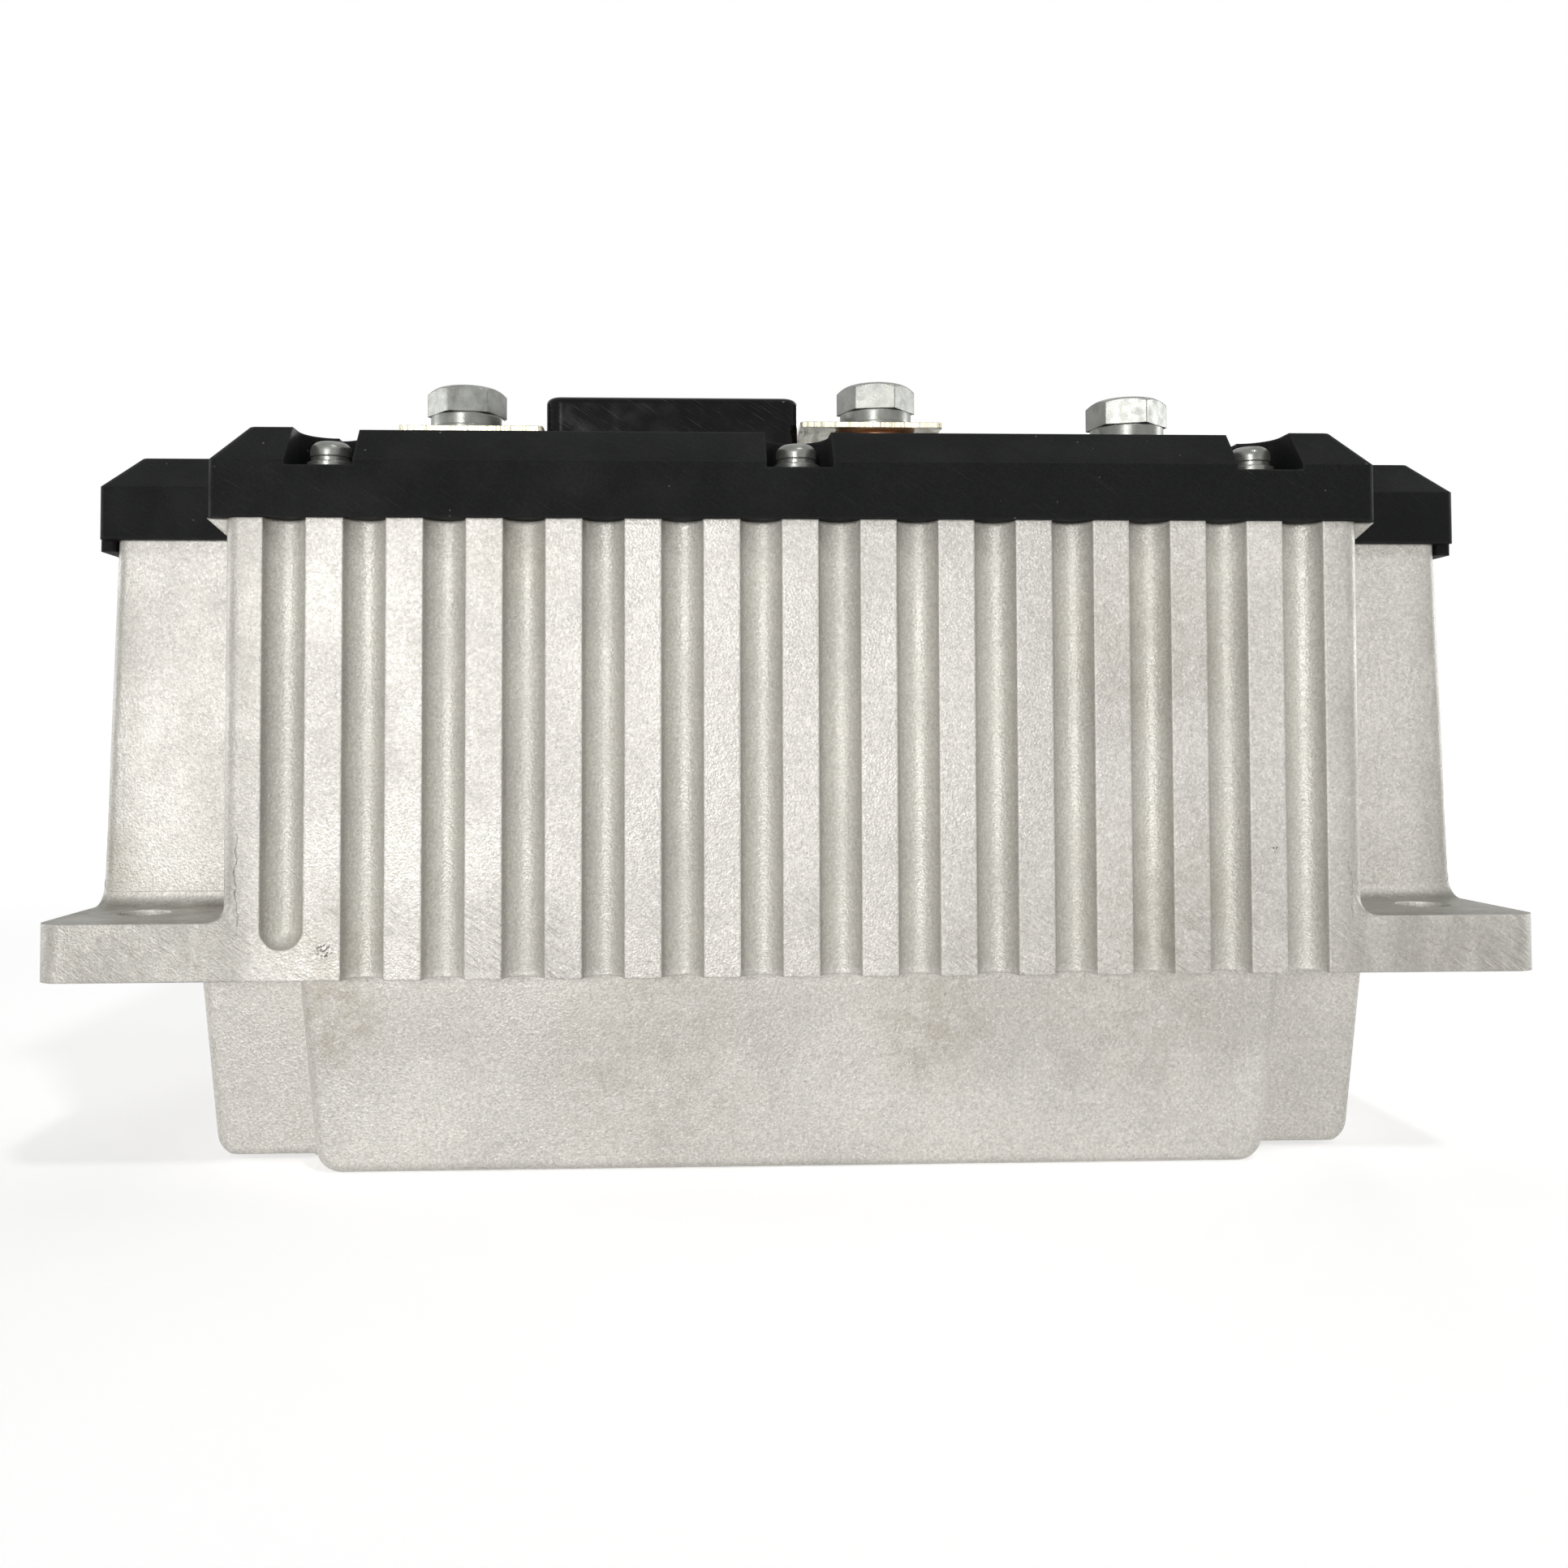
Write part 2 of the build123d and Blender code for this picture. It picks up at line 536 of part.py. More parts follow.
# ---- Fasteners ----------------------------------------------------------------------------------
def pan_screw(x, y, z, radius, height, shank_r, length):
    """Pan-head screw with a cross recess, seated at z."""
    head = rod(x, y, z, z + height, radius)
    head = fillet(head.edges().group_by(Axis.Z)[-1], height * PAN_CROWN)
    reach, half = CROSS_REACH * radius, CROSS_HALF * radius
    slot = block(-reach, reach, -half, half, z + height * CROSS_FLOOR, z + height + 1)
    for angle in (0, 90):
        head -= Pos(x, y, 0) * Rot(0, 0, angle) * slot
    return head + rod(x, y, z - length, z, shank_r)


def spring_washer(x, y, z, inner, outer, thickness, gap, turn=0.0):
    """Split washer pressed flat."""
    slit = Pos(x, y, 0) * Rot(0, 0, turn) * block(0, outer + 1, -gap / 2, gap / 2, z - 1, z + thickness + 1)
    return ring(x, y, z, z + thickness, inner, outer) - slit


def hex_bolt(x, y, z, turn):
    """Hex bolt seated at z, with a chamfered head."""
    corner = HEX_FLATS / math.sqrt(3)
    head = Pos(x, y, z) * Rot(0, 0, turn) * extrude(RegularPolygon(corner, 6), HEX_HEIGHT)
    crown_r = 0.465 * HEX_FLATS
    spread = crown_r + HEX_HEIGHT / math.tan(math.radians(30))
    head &= Pos(x, y, z + HEX_HEIGHT / 2) * Cone(spread, crown_r, HEX_HEIGHT)
    shank = rod(x, y, z - BOLT_LENGTH, z, BOLT_R)
    shank = chamfer(shank.edges().group_by(Axis.Z)[0], 1.0)
    return head + shank


def cover_fasteners():
    """Cover screws with their spring and flat washers."""
    spring_z = SEAT + SMALL_WASHER_T
    head_z = spring_z + SMALL_WASHER_T
    bore = SCREW_R + SCREW_CLEARANCE
    save("cover_washers", group(*[ring(x, y, SEAT, spring_z, bore, SMALL_WASHER_R) for x, y in SCREW_PLACES]))
    save("cover_spring_washers", group(*[
        spring_washer(x, y, spring_z, bore, SMALL_SPRING_R, SMALL_WASHER_T, 0.7, 40.0 * i)
        for i, (x, y) in enumerate(SCREW_PLACES)]))
    save("cover_screws", group(*[
        pan_screw(x, y, head_z, PAN_R, PAN_HEIGHT, SCREW_R, SCREW_LENGTH) for x, y in SCREW_PLACES]))


# ---- Terminals ----------------------------------------------------------------------------------
def terminal_plate(x, y, z, shift):
    """Flat terminal plate on a post."""
    plate = rounded(x + shift, y, PLATE_WIDTH / 2, PLATE_DEPTH / 2, z, z + PLATE_T, 1.0)
    return plate - rod(x, y, z - 1, z + PLATE_T + 1, PLATE_HOLE_R)


def post(x, y, top):
    """Round post with a tapped bore, standing on its busbar."""
    body = rod(x, y, BUSBAR_TOP, top, POST_R)
    body = chamfer(body.edges().group_by(Axis.Z)[-1], 0.5)
    body -= rod(x, y, top - POST_BORE_DEPTH, top + 1, BOLT_R + BOLT_FIT)
    tapped = POST_SCREW_R + THREAD_CLEARANCE
    return body - rod(x, y, BUSBAR_TOP - 1, POWER_BOARD_Z + POST_SCREW_LENGTH + 1, tapped)


def terminals():
    """Posts, plates, washers and bolts of the three terminals."""
    for name, (x, y, top, seat, shift, turn) in TERMINALS.items():
        save("post_" + name, post(x, y, top))
        if seat > top:
            save("terminal_plate_" + name, terminal_plate(x, y, top, shift))
        save("flat_washer_" + name, ring(x, y, seat, seat + WASHER_T, WASHER_BORE_R, WASHER_R))
        save("spring_washer_" + name, spring_washer(
            x, y, seat + WASHER_T, SPRING_BORE_R, SPRING_R, SPRING_T, SPRING_GAP, 20.0 + turn))
        save("bolt_" + name, hex_bolt(x, y, seat + WASHER_T + SPRING_T, turn))
    inner, outer = POST_R + SEAL_FIT, POST_R + SEAL_WALL - SEAL_FIT
    save("post_seals", group(*[ring(x, y, CEILING, FIELD_Z, inner, outer) for x, y in terminal_places()]))


# ---- Signal connector -----------------------------------------------------------------------------
def pin_places():
    """Plan position of each contact pin."""
    first_x = SOCKET_X - (PIN_COLUMNS - 1) / 2 * PIN_PITCH
    first_y = SOCKET_Y - (PIN_ROWS - 1) / 2 * PIN_ROW_PITCH
    return [(first_x + i * PIN_PITCH, first_y + j * PIN_ROW_PITCH)
            for j in range(PIN_ROWS) for i in range(PIN_COLUMNS)]


def connector():
    """Shell, seal and pins of the signal connector."""
    half_x, half_y = SOCKET_WIDTH / 2, SOCKET_DEPTH / 2
    flange_x, flange_y = half_x + SOCKET_FLANGE, half_y + SOCKET_FLANGE
    seal_low = CEILING - SOCKET_SEAL_T
    low = seal_low - SOCKET_FLANGE_T
    floor = low + SOCKET_FLOOR
    shell = rounded(SOCKET_X, SOCKET_Y, half_x, half_y, low, SOCKET_TOP, SOCKET_CORNER_R)
    shell = fillet(shell.edges().group_by(Axis.Z)[-1], SOCKET_EDGE_R)
    shell += rounded(SOCKET_X, SOCKET_Y, flange_x, flange_y, low, seal_low, SOCKET_CORNER_R)
    shell -= rounded(SOCKET_X, SOCKET_Y, half_x - SOCKET_WALL, half_y - SOCKET_WALL,
                     floor, SOCKET_TOP + 1, SOCKET_CORNER_R - SOCKET_WALL / 2)
    shell -= [rod(x, y, low - 1, floor + 1, PIN_R + PIN_FIT) for x, y in pin_places()]
    save("connector_shell", shell)
    seal = rounded(SOCKET_X, SOCKET_Y, flange_x, flange_y, seal_low, CEILING, SOCKET_CORNER_R)
    seal -= rounded(SOCKET_X, SOCKET_Y, half_x + SOCKET_FIT, half_y + SOCKET_FIT,
                    seal_low - 1, CEILING + 1, SOCKET_CORNER_R)
    save("connector_seal", seal)
    pin_top = SOCKET_TOP - PIN_BELOW_MOUTH
    save("connector_pins", group(*[rod(x, y, CONTROL_TOP, pin_top, PIN_R) for x, y in pin_places()]))


# ---- Boards ---------------------------------------------------------------------------------------
def board_screws(places, z, length=BOARD_SCREW_LENGTH):
    """Pan screws that hold a board or a bar, seated at z."""
    return group(*[pan_screw(x, y, z, BOARD_SCREW_HEAD_R, BOARD_SCREW_HEAD_T, BOARD_SCREW_R, length)
                   for x, y in places])


def standoffs(places, z0, z1):
    """Tapped round standoffs."""
    return [ring(x, y, z0, z1, BOARD_SCREW_R + THREAD_CLEARANCE, STANDOFF_R) for x, y in places]


def studded_standoffs():
    """Standoffs of the control board, each with a stud down through the power board."""
    bodies = []
    for x, y in CONTROL_PLACES:
        stud = rod(x, y, POWER_TOP - STUD_LENGTH, POWER_TOP, BOARD_SCREW_R)
        bore = rod(x, y, CONTROL_TOP - BOARD_SCREW_LENGTH - 2, CONTROL_TOP, BOARD_SCREW_R + THREAD_CLEARANCE)
        bodies.append(rod(x, y, POWER_TOP, CONTROL_BOARD_Z, STANDOFF_R) + stud - bore)
    return bodies


def stud_nuts():
    """Nuts on the standoff studs, under the power board."""
    corner = NUT_FLATS / math.sqrt(3)
    return [Pos(x, y, POWER_BOARD_Z - NUT_T) * extrude(RegularPolygon(corner, 6), NUT_T)
            - rod(x, y, POWER_BOARD_Z - NUT_T - 1, POWER_BOARD_Z + 1, BOARD_SCREW_R + THREAD_CLEARANCE)
            for x, y in CONTROL_PLACES]


def power_board():
    """Main board across the block."""
    board = centred(INNER_X - POWER_BOARD_GAP, INNER_Y - POWER_BOARD_GAP, POWER_BOARD_Z, POWER_TOP)
    small = STANDOFF_PLACES + CONTROL_PLACES + BUSBAR_SCREWS
    holes = [(x, y, BOARD_SCREW_R + SCREW_CLEARANCE) for x, y in small]
    holes += [(x, y, POST_SCREW_R + SCREW_CLEARANCE) for x, y in terminal_places()]
    return board - [rod(x, y, POWER_BOARD_Z - 1, POWER_TOP + 1, r) for x, y, r in holes]


def control_board():
    """Upper board, cut out around the posts."""
    board = centred(CONTROL_HALF_X, CONTROL_HALF_Y, CONTROL_BOARD_Z, CONTROL_TOP)
    holes = [(x, y, POST_R + POST_GAP) for x, y in terminal_places()]
    holes += [(x, y, BOARD_SCREW_R + SCREW_CLEARANCE) for x, y in CONTROL_PLACES]
    return board - [rod(x, y, CONTROL_BOARD_Z - 1, CONTROL_TOP + 1, r) for x, y, r in holes]


def chip(x, y, size):
    """Rectangular part on the control board."""
    wide, deep, high = size
    return block(x - wide / 2, x + wide / 2, y - deep / 2, y + deep / 2, CONTROL_TOP, CONTROL_TOP + high)


def boards():
    """Both boards and what holds them."""
    save("power_board", power_board())
    save("control_board", control_board())
    save("power_board_standoffs", group(*standoffs(STANDOFF_PLACES, SHELF_TOP, POWER_BOARD_Z)))
    save("power_board_screws", board_screws(STANDOFF_PLACES, POWER_TOP))
    save("control_board_standoffs", group(*studded_standoffs()))
    save("standoff_nuts", group(*stud_nuts()))
    save("control_board_screws", board_screws(CONTROL_PLACES, CONTROL_TOP))
    wide, deep = LINK_SIZE
    y0, y1 = LINK_Y - deep / 2, LINK_Y + deep / 2
    save("board_link", block(-wide / 2, wide / 2, y0, y1, POWER_TOP, CONTROL_BOARD_Z))
    save("microcontroller", chip(*PROCESSOR_AT, PROCESSOR_SIZE))
    save("driver_chips", group(*[chip(x, DRIVER_Y, DRIVER_SIZE) for x in DRIVER_X]))
    save("supply_transformer", chip(*TRANSFORMER_AT, TRANSFORMER_SIZE))


# ---- Power stage ----------------------------------------------------------------------------------
def fet_places():
    """Transistor positions: x and the wall they lean on."""
    xs = [FET_FIRST_X + i * FET_PITCH for i in range(FETS_PER_BAR)]
    return [(sx * x, sy) for sy in (-1, 1) for sx in (-1, 1) for x in xs]


def transistor(x, side):
    """Upright power transistor with three leads down to the board."""
    inner, outer = INNER_Y - FET_PAD_T - FET_T, INNER_Y - FET_PAD_T
    y0, y1 = sorted((side * inner, side * outer))
    z = POWER_TOP + FET_LEAD
    body = block(x - FET_WIDTH / 2, x + FET_WIDTH / 2, y0, y1, z, z + FET_HEIGHT)
    lead_y = (y0 + y1) / 2
    half_x, half_y = LEAD_WIDTH / 2, LEAD_T / 2
    for lead_x in (x - LEAD_PITCH, x, x + LEAD_PITCH):
        body += block(lead_x - half_x, lead_x + half_x, lead_y - half_y, lead_y + half_y, POWER_TOP, z)
    return body


def fet_pad(x, side):
    """Insulating pad between a transistor and the wall."""
    y0, y1 = sorted((side * (INNER_Y - FET_PAD_T), side * INNER_Y))
    z = POWER_TOP + FET_LEAD
    return block(x - FET_WIDTH / 2 - 1, x + FET_WIDTH / 2 + 1, y0, y1, z - 1, z + FET_HEIGHT + 1)


def clamp_bar(sx, side):
    """Bar that presses three transistors to the wall."""
    last = FET_FIRST_X + (FETS_PER_BAR - 1) * FET_PITCH
    x0, x1 = sorted((sx * (FET_FIRST_X - FET_WIDTH / 2), sx * (last + FET_WIDTH / 2)))
    face = INNER_Y - FET_PAD_T - FET_T
    y0, y1 = sorted((side * (face - BAR_T), side * face))
    bar = block(x0, x1, y0, y1, bar_z() - BAR_HEIGHT / 2, bar_z() + BAR_HEIGHT / 2)
    bore = Rot(90, 0, 0) * Cylinder(BOARD_SCREW_R + SCREW_CLEARANCE, BAR_T + 2)
    holes = [Pos(x, (y0 + y1) / 2, bar_z()) * bore for x, s in bar_screw_places() if s == side and x * sx > 0]
    return bar - holes


def clamp_screw(x, side):
    """Screw through a clamp bar into the wall."""
    screw = pan_screw(0, 0, 0, BOARD_SCREW_HEAD_R, BOARD_SCREW_HEAD_T, BOARD_SCREW_R, BAR_SCREW_LENGTH)
    face = INNER_Y - FET_PAD_T - FET_T - BAR_T
    return Pos(x, side * face, bar_z()) * Rot(side * 90, 0, 0) * screw


def busbar(x, y):
    """Flat bar on the power board under a post."""
    middle = y + BUSBAR_END - BUSBAR_LENGTH / 2
    bar = rounded(x, middle, BUSBAR_WIDTH / 2, BUSBAR_LENGTH / 2, POWER_TOP, BUSBAR_TOP, 2.0)
    bar -= rod(x, y, POWER_TOP - 1, BUSBAR_TOP + 1, POST_SCREW_R + SCREW_CLEARANCE)
    screw_y = y + BUSBAR_END - BUSBAR_SCREW_END
    return bar - rod(x, screw_y, POWER_TOP - 1, BUSBAR_TOP + 1, BOARD_SCREW_R + SCREW_CLEARANCE)


def post_screw(x, y):
    """Screw from under the board, through the busbar, up into a post."""
    head = rod(x, y, POWER_BOARD_Z - POST_SCREW_HEAD_T, POWER_BOARD_Z, POST_SCREW_HEAD_R)
    head = fillet(head.edges().group_by(Axis.Z)[0], POST_SCREW_HEAD_T / 2)
    return head + rod(x, y, POWER_BOARD_Z, POWER_BOARD_Z + POST_SCREW_LENGTH, POST_SCREW_R)


def power_stage():
    """Transistors, capacitors, busbars and sensors."""
    save("power_transistors", group(*[transistor(x, s) for x, s in fet_places()]))
    save("insulating_pads", group(*[fet_pad(x, s) for x, s in fet_places()]))
    save("clamp_bars", group(*[clamp_bar(sx, s) for s in (-1, 1) for sx in (-1, 1)]))
    save("clamp_screws", group(*[clamp_screw(x, s) for x, s in bar_screw_places()]))
    for name, (x, y, *_) in TERMINALS.items():
        save("busbar_" + name, busbar(x, y))
    save("busbar_screws", board_screws(BUSBAR_SCREWS, BUSBAR_TOP, BUSBAR_T + POWER_BOARD_T))
    save("post_screws", group(*[post_screw(x, y) for x, y in terminal_places()]))
    cans = [(i * BULK_PITCH_X / 2, BULK_Y + j * BULK_PITCH_Y) for i in (-1, 1) for j in (-1, 0, 1)]
    can_low = POWER_BOARD_Z - BULK_HEIGHT
    save("bulk_capacitors", group(*[rod(x, y, can_low, POWER_BOARD_Z, BULK_R) for x, y in cans]))
    wide, deep, high = FILM_SIZE
    save("film_capacitors", group(*[
        rounded(x, FILM_Y, wide / 2, deep / 2, POWER_TOP, POWER_TOP + high, 1.5) for x in FILM_X]))
    save("current_sensors", group(*[
        ring(TERMINALS[n][0], TERMINALS[n][1], BUSBAR_TOP, BUSBAR_TOP + SENSOR_HEIGHT, POST_R + 0.5, SENSOR_R)
        for n in ("middle", "right")]))


# ---- Chokes ---------------------------------------------------------------------------------------
def choke_core(x):
    """Ferrite core: two yokes, outer legs and a round middle leg."""
    wide, deep = CHOKE_WIDTH / 2, CHOKE_DEPTH / 2
    low = TUB_FLOOR + CHOKE_PAD_T
    z0, z1 = low + CHOKE_YOKE, CHOKE_TOP - CHOKE_YOKE
    side = CHOKE_WINDOW_R * 0.8
    window = rod(x, 0, z0, z1, CHOKE_WINDOW_R) + block(x - side, x + side, -deep - 1, deep + 1, z0, z1)
    core = block(x - wide, x + wide, -deep, deep, low, CHOKE_TOP)
    return core - (window - rod(x, 0, z0 - 1, z1 + 1, CHOKE_LEG_R))


def choke_coil(x):
    """Winding around the middle leg."""
    low = TUB_FLOOR + CHOKE_PAD_T + CHOKE_YOKE
    return ring(x, 0, low, CHOKE_TOP - CHOKE_YOKE, CHOKE_LEG_R + COIL_FIT, CHOKE_WINDOW_R - COIL_FIT)


def choke_strap(x):
    """Flat strap over a choke, screwed to the shelf."""
    half = INNER_Y - STRAP_END
    strap = block(x - STRAP_WIDTH / 2, x + STRAP_WIDTH / 2, -half, half, SHELF_TOP, SHELF_TOP + STRAP_T)
    holes = [rod(sx, sy, SHELF_TOP - 1, SHELF_TOP + STRAP_T + 1, BOARD_SCREW_R + SCREW_CLEARANCE)
             for sx, sy in strap_screw_places() if sx * x > 0]
    return strap - holes


def chokes():
    """Both chokes with pads, cushions, straps and screws."""
    sides = (-CHOKE_X, CHOKE_X)
    wide, deep = CHOKE_WIDTH / 2, CHOKE_DEPTH / 2
    pad_top = TUB_FLOOR + CHOKE_PAD_T
    cushion = (STRAP_WIDTH / 2, deep - CUSHION_SETBACK)
    save("choke_cores", group(*[choke_core(x) for x in sides]))
    save("choke_windings", group(*[choke_coil(x) for x in sides]))
    save("choke_pads", group(*[rounded(x, 0, wide, deep, TUB_FLOOR, pad_top, 1.0) for x in sides]))
    save("choke_cushions", group(*[rounded(x, 0, *cushion, CHOKE_TOP, SHELF_TOP, 1.0) for x in sides]))
    save("choke_straps", group(*[choke_strap(x) for x in sides]))
    save("strap_screws", board_screws(strap_screw_places(), SHELF_TOP + STRAP_T, STRAP_SCREW_LENGTH))


save("housing", housing())
save("cover_gasket", gasket())
save("cover", cover())
cover_fasteners()
terminals()
connector()
boards()
power_stage()
chokes()
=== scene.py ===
import json
import logging
import math
import random
from collections.abc import Callable, Iterable
from dataclasses import dataclass, field
from enum import Enum

import bpy
from mathutils import Euler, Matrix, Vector

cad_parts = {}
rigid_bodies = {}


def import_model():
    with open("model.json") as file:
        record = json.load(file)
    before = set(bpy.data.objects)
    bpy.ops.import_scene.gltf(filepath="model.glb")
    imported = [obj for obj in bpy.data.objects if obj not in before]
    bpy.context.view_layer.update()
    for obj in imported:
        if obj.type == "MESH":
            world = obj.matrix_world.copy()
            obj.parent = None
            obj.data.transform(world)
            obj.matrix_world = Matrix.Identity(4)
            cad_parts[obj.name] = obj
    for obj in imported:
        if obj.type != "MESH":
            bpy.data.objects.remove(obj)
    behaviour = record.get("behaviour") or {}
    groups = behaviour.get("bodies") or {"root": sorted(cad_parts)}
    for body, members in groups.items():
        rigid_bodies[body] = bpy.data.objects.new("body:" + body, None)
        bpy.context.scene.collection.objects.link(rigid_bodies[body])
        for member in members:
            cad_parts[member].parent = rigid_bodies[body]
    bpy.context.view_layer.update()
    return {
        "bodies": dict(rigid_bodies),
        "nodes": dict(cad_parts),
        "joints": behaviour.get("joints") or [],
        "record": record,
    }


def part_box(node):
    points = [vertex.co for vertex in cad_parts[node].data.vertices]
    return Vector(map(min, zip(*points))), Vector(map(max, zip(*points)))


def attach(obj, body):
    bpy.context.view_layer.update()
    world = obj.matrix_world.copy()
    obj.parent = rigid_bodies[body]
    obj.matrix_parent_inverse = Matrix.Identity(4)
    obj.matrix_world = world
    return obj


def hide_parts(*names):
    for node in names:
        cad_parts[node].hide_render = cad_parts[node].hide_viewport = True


LOG = logging.getLogger("charge_controller")
MM = 0.001
Colour = tuple[float, float, float]
Socket = bpy.types.NodeSocket
Point = tuple[float, float, float]
Faces = list[tuple[int, ...]]


class Body(Enum):
    """Bodies of the frame that added pieces ride on."""

    CONTROLLER = "controller"
    LEFT_BOLT = "left_bolt"
    MIDDLE_BOLT = "middle_bolt"
    RIGHT_BOLT = "right_bolt"


class Slot(Enum):
    """Material slots of the record."""

    CASTING = "cast_aluminium"
    COVER = "cover_plastic"
    SEAL = "seal_rubber"
    ZINC = "zinc_steel"
    PLATE = "plate_tin"
    POST = "post_copper"
    SOCKET = "connector_plastic"
    PIN = "pin_tin"
    BOARD = "board_laminate"
    INNER_STEEL = "inner_steel"
    CHIP = "chip_plastic"
    PAD = "pad_silicone"
    CAN = "can_sleeve"
    FILM = "film_box"
    FERRITE = "ferrite"
    WINDING = "winding_copper"


# ---- Node graphs ---------------------------------------------------------------------------------
class Graph:
    """Builder for one material's node tree."""

    def __init__(self, name: str) -> None:
        """Starts an empty material with a principled shader on its output.

        Args:
            name: The material's name.
        """
        self.material = bpy.data.materials.new(name)
        self.material.use_nodes = True
        self.tree = self.material.node_tree
        self.tree.nodes.clear()
        self.shader = self.node("ShaderNodeBsdfPrincipled")
        output = self.node("ShaderNodeOutputMaterial")
        self.join(self.shader.outputs["BSDF"], output.inputs["Surface"])
        self.place = self.node("ShaderNodeTexCoord").outputs["Object"]

    def node(self, kind: str, **settings: object) -> bpy.types.Node:
        """Adds a node.

        Args:
            kind: The node's type name.
            settings: Attributes to set on it.

        Returns:
            The node.
        """
        made = self.tree.nodes.new(kind)
        for key, value in settings.items():
            setattr(made, key, value)
        return made

    def join(self, start: Socket, end: Socket) -> None:
        """Links two sockets."""
        self.tree.links.new(start, end)

    def feed(self, socket: Socket, value: Socket | float | Colour) -> None:
        """Links or sets an input.

        Args:
            socket: The input.
            value: An output to link, or a plain value.
        """
        if isinstance(value, bpy.types.NodeSocket):
            self.join(value, socket)
        else:
            socket.default_value = value

    def stretched(self, size: Point, turn: Point = (0.0, 0.0, 0.0)) -> Socket:
        """Gives coordinates in which one unit is the given size.

        Args:
            size: Length of one unit along each axis, in metres.
            turn: Rotation in degrees, applied before the scaling.

        Returns:
            The coordinate output.
        """
        turned = self.node("ShaderNodeMapping")
        turned.inputs["Rotation"].default_value = [math.radians(a) for a in turn]
        self.join(self.place, turned.inputs["Vector"])
        scaled = self.node("ShaderNodeMapping")
        scaled.inputs["Scale"].default_value = [1.0 / s for s in size]
        self.join(turned.outputs["Vector"], scaled.inputs["Vector"])
        return scaled.outputs["Vector"]

    def noise(self, size: float | Point, detail: float = 2.0, rough: float = 0.5,
              turn: Point = (0.0, 0.0, 0.0)) -> Socket:
        """Cloudy noise.

        Args:
            size: Feature size in metres, one number or one for each axis.
            detail: Octaves.
            rough: Weight of the finer octaves.
            turn: Rotation in degrees.

        Returns:
            The noise value.
        """
        size = (size, size, size) if isinstance(size, float) else size
        made = self.node("ShaderNodeTexNoise")
        made.inputs["Scale"].default_value = 1.0
        made.inputs["Detail"].default_value = detail
        made.inputs["Roughness"].default_value = rough
        self.join(self.stretched(size, turn), made.inputs["Vector"])
        return made.outputs["Fac"]

    def cells(self, size: float, output: str = "Distance") -> Socket:
        """Cell pattern.

        Args:
            size: Cell size in metres.
            output: Which output of the pattern to use.

        Returns:
            The chosen output.
        """
        made = self.node("ShaderNodeTexVoronoi")
        made.inputs["Scale"].default_value = 1.0
        self.join(self.stretched((size, size, size)), made.inputs["Vector"])
        return made.outputs[output]

    def remap(self, value: Socket, low: float, high: float, to_low: float, to_high: float) -> Socket:
        """Rescales a value, with clamping and soft ends.

        Args:
            value: The input value.
            low: Input at the first end.
            high: Input at the other end.
            to_low: Output at the first end.
            to_high: Output at the other end.

        Returns:
            The rescaled value.
        """
        made = self.node("ShaderNodeMapRange", interpolation_type="SMOOTHSTEP")
        for key, number in (("From Min", low), ("From Max", high), ("To Min", to_low), ("To Max", to_high)):
            made.inputs[key].default_value = number
        self.join(value, made.inputs["Value"])
        return made.outputs["Result"]

    def sum(self, operation: str, first: Socket | float, second: Socket | float) -> Socket:
        """Arithmetic on two values.

        Args:
            operation: The maths node's operation.
            first: First value.
            second: Second value.

        Returns:
            The result.
        """
        made = self.node("ShaderNodeMath", operation=operation)
        self.feed(made.inputs[0], first)
        self.feed(made.inputs[1], second)
        return made.outputs["Value"]

    def blend(self, amount: Socket | float, first: Socket | Colour, second: Socket | Colour,
              mode: str = "MIX") -> Socket:
        """Blends two colours.

        Args:
            amount: Share of the second colour.
            first: First colour.
            second: Second colour.
            mode: Blend mode.

        Returns:
            The blended colour.
        """
        made = self.node("ShaderNodeMix", data_type="RGBA", blend_type=mode)
        self.feed(made.inputs[0], amount)
        for socket, value in ((made.inputs[6], first), (made.inputs[7], second)):
            self.feed(socket, (*value, 1.0) if isinstance(value, tuple) else value)
        return made.outputs[2]

    def axis(self, name: str) -> Socket:
        """One coordinate of the surface point, in metres."""
        split = self.node("ShaderNodeSeparateXYZ")
        self.join(self.place, split.inputs["Vector"])
        return split.outputs[name]

    def off_middle(self, name: str) -> Socket:
        """Distance from the middle plane across one axis, in metres."""
        return self.sum("ABSOLUTE", self.axis(name), 0.0)

    def facing(self, name: str) -> Socket:
        """One coordinate of the surface's normal."""
        geometry = self.node("ShaderNodeNewGeometry")
        split = self.node("ShaderNodeSeparateXYZ")
        self.join(geometry.outputs["Normal"], split.inputs["Vector"])
        return split.outputs[name]

    def product(self, first: Socket, *others: Socket | float) -> Socket:
        """Product of two or more values."""
        for other in others:
            first = self.sum("MULTIPLY", first, other)
        return first

    def spot(self, centre: Point, inner: float, outer: float) -> Socket:
        """Round soft spot.

        Args:
            centre: Its centre, in metres.
            inner: Radius of full strength.
            outer: Radius where it ends.

        Returns:
            1 inside, 0 outside.
        """
        away = self.node("ShaderNodeVectorMath", operation="DISTANCE")
        self.join(self.place, away.inputs[0])
        away.inputs[1].default_value = centre
        return self.remap(away.outputs["Value"], inner, outer, 1.0, 0.0)

    def rounded_normal(self, radius: float) -> Socket:
        """Normal that turns smoothly over sharp edges."""
        made = self.node("ShaderNodeBevel", samples=6)
        made.inputs["Radius"].default_value = radius
        return made.outputs["Normal"]

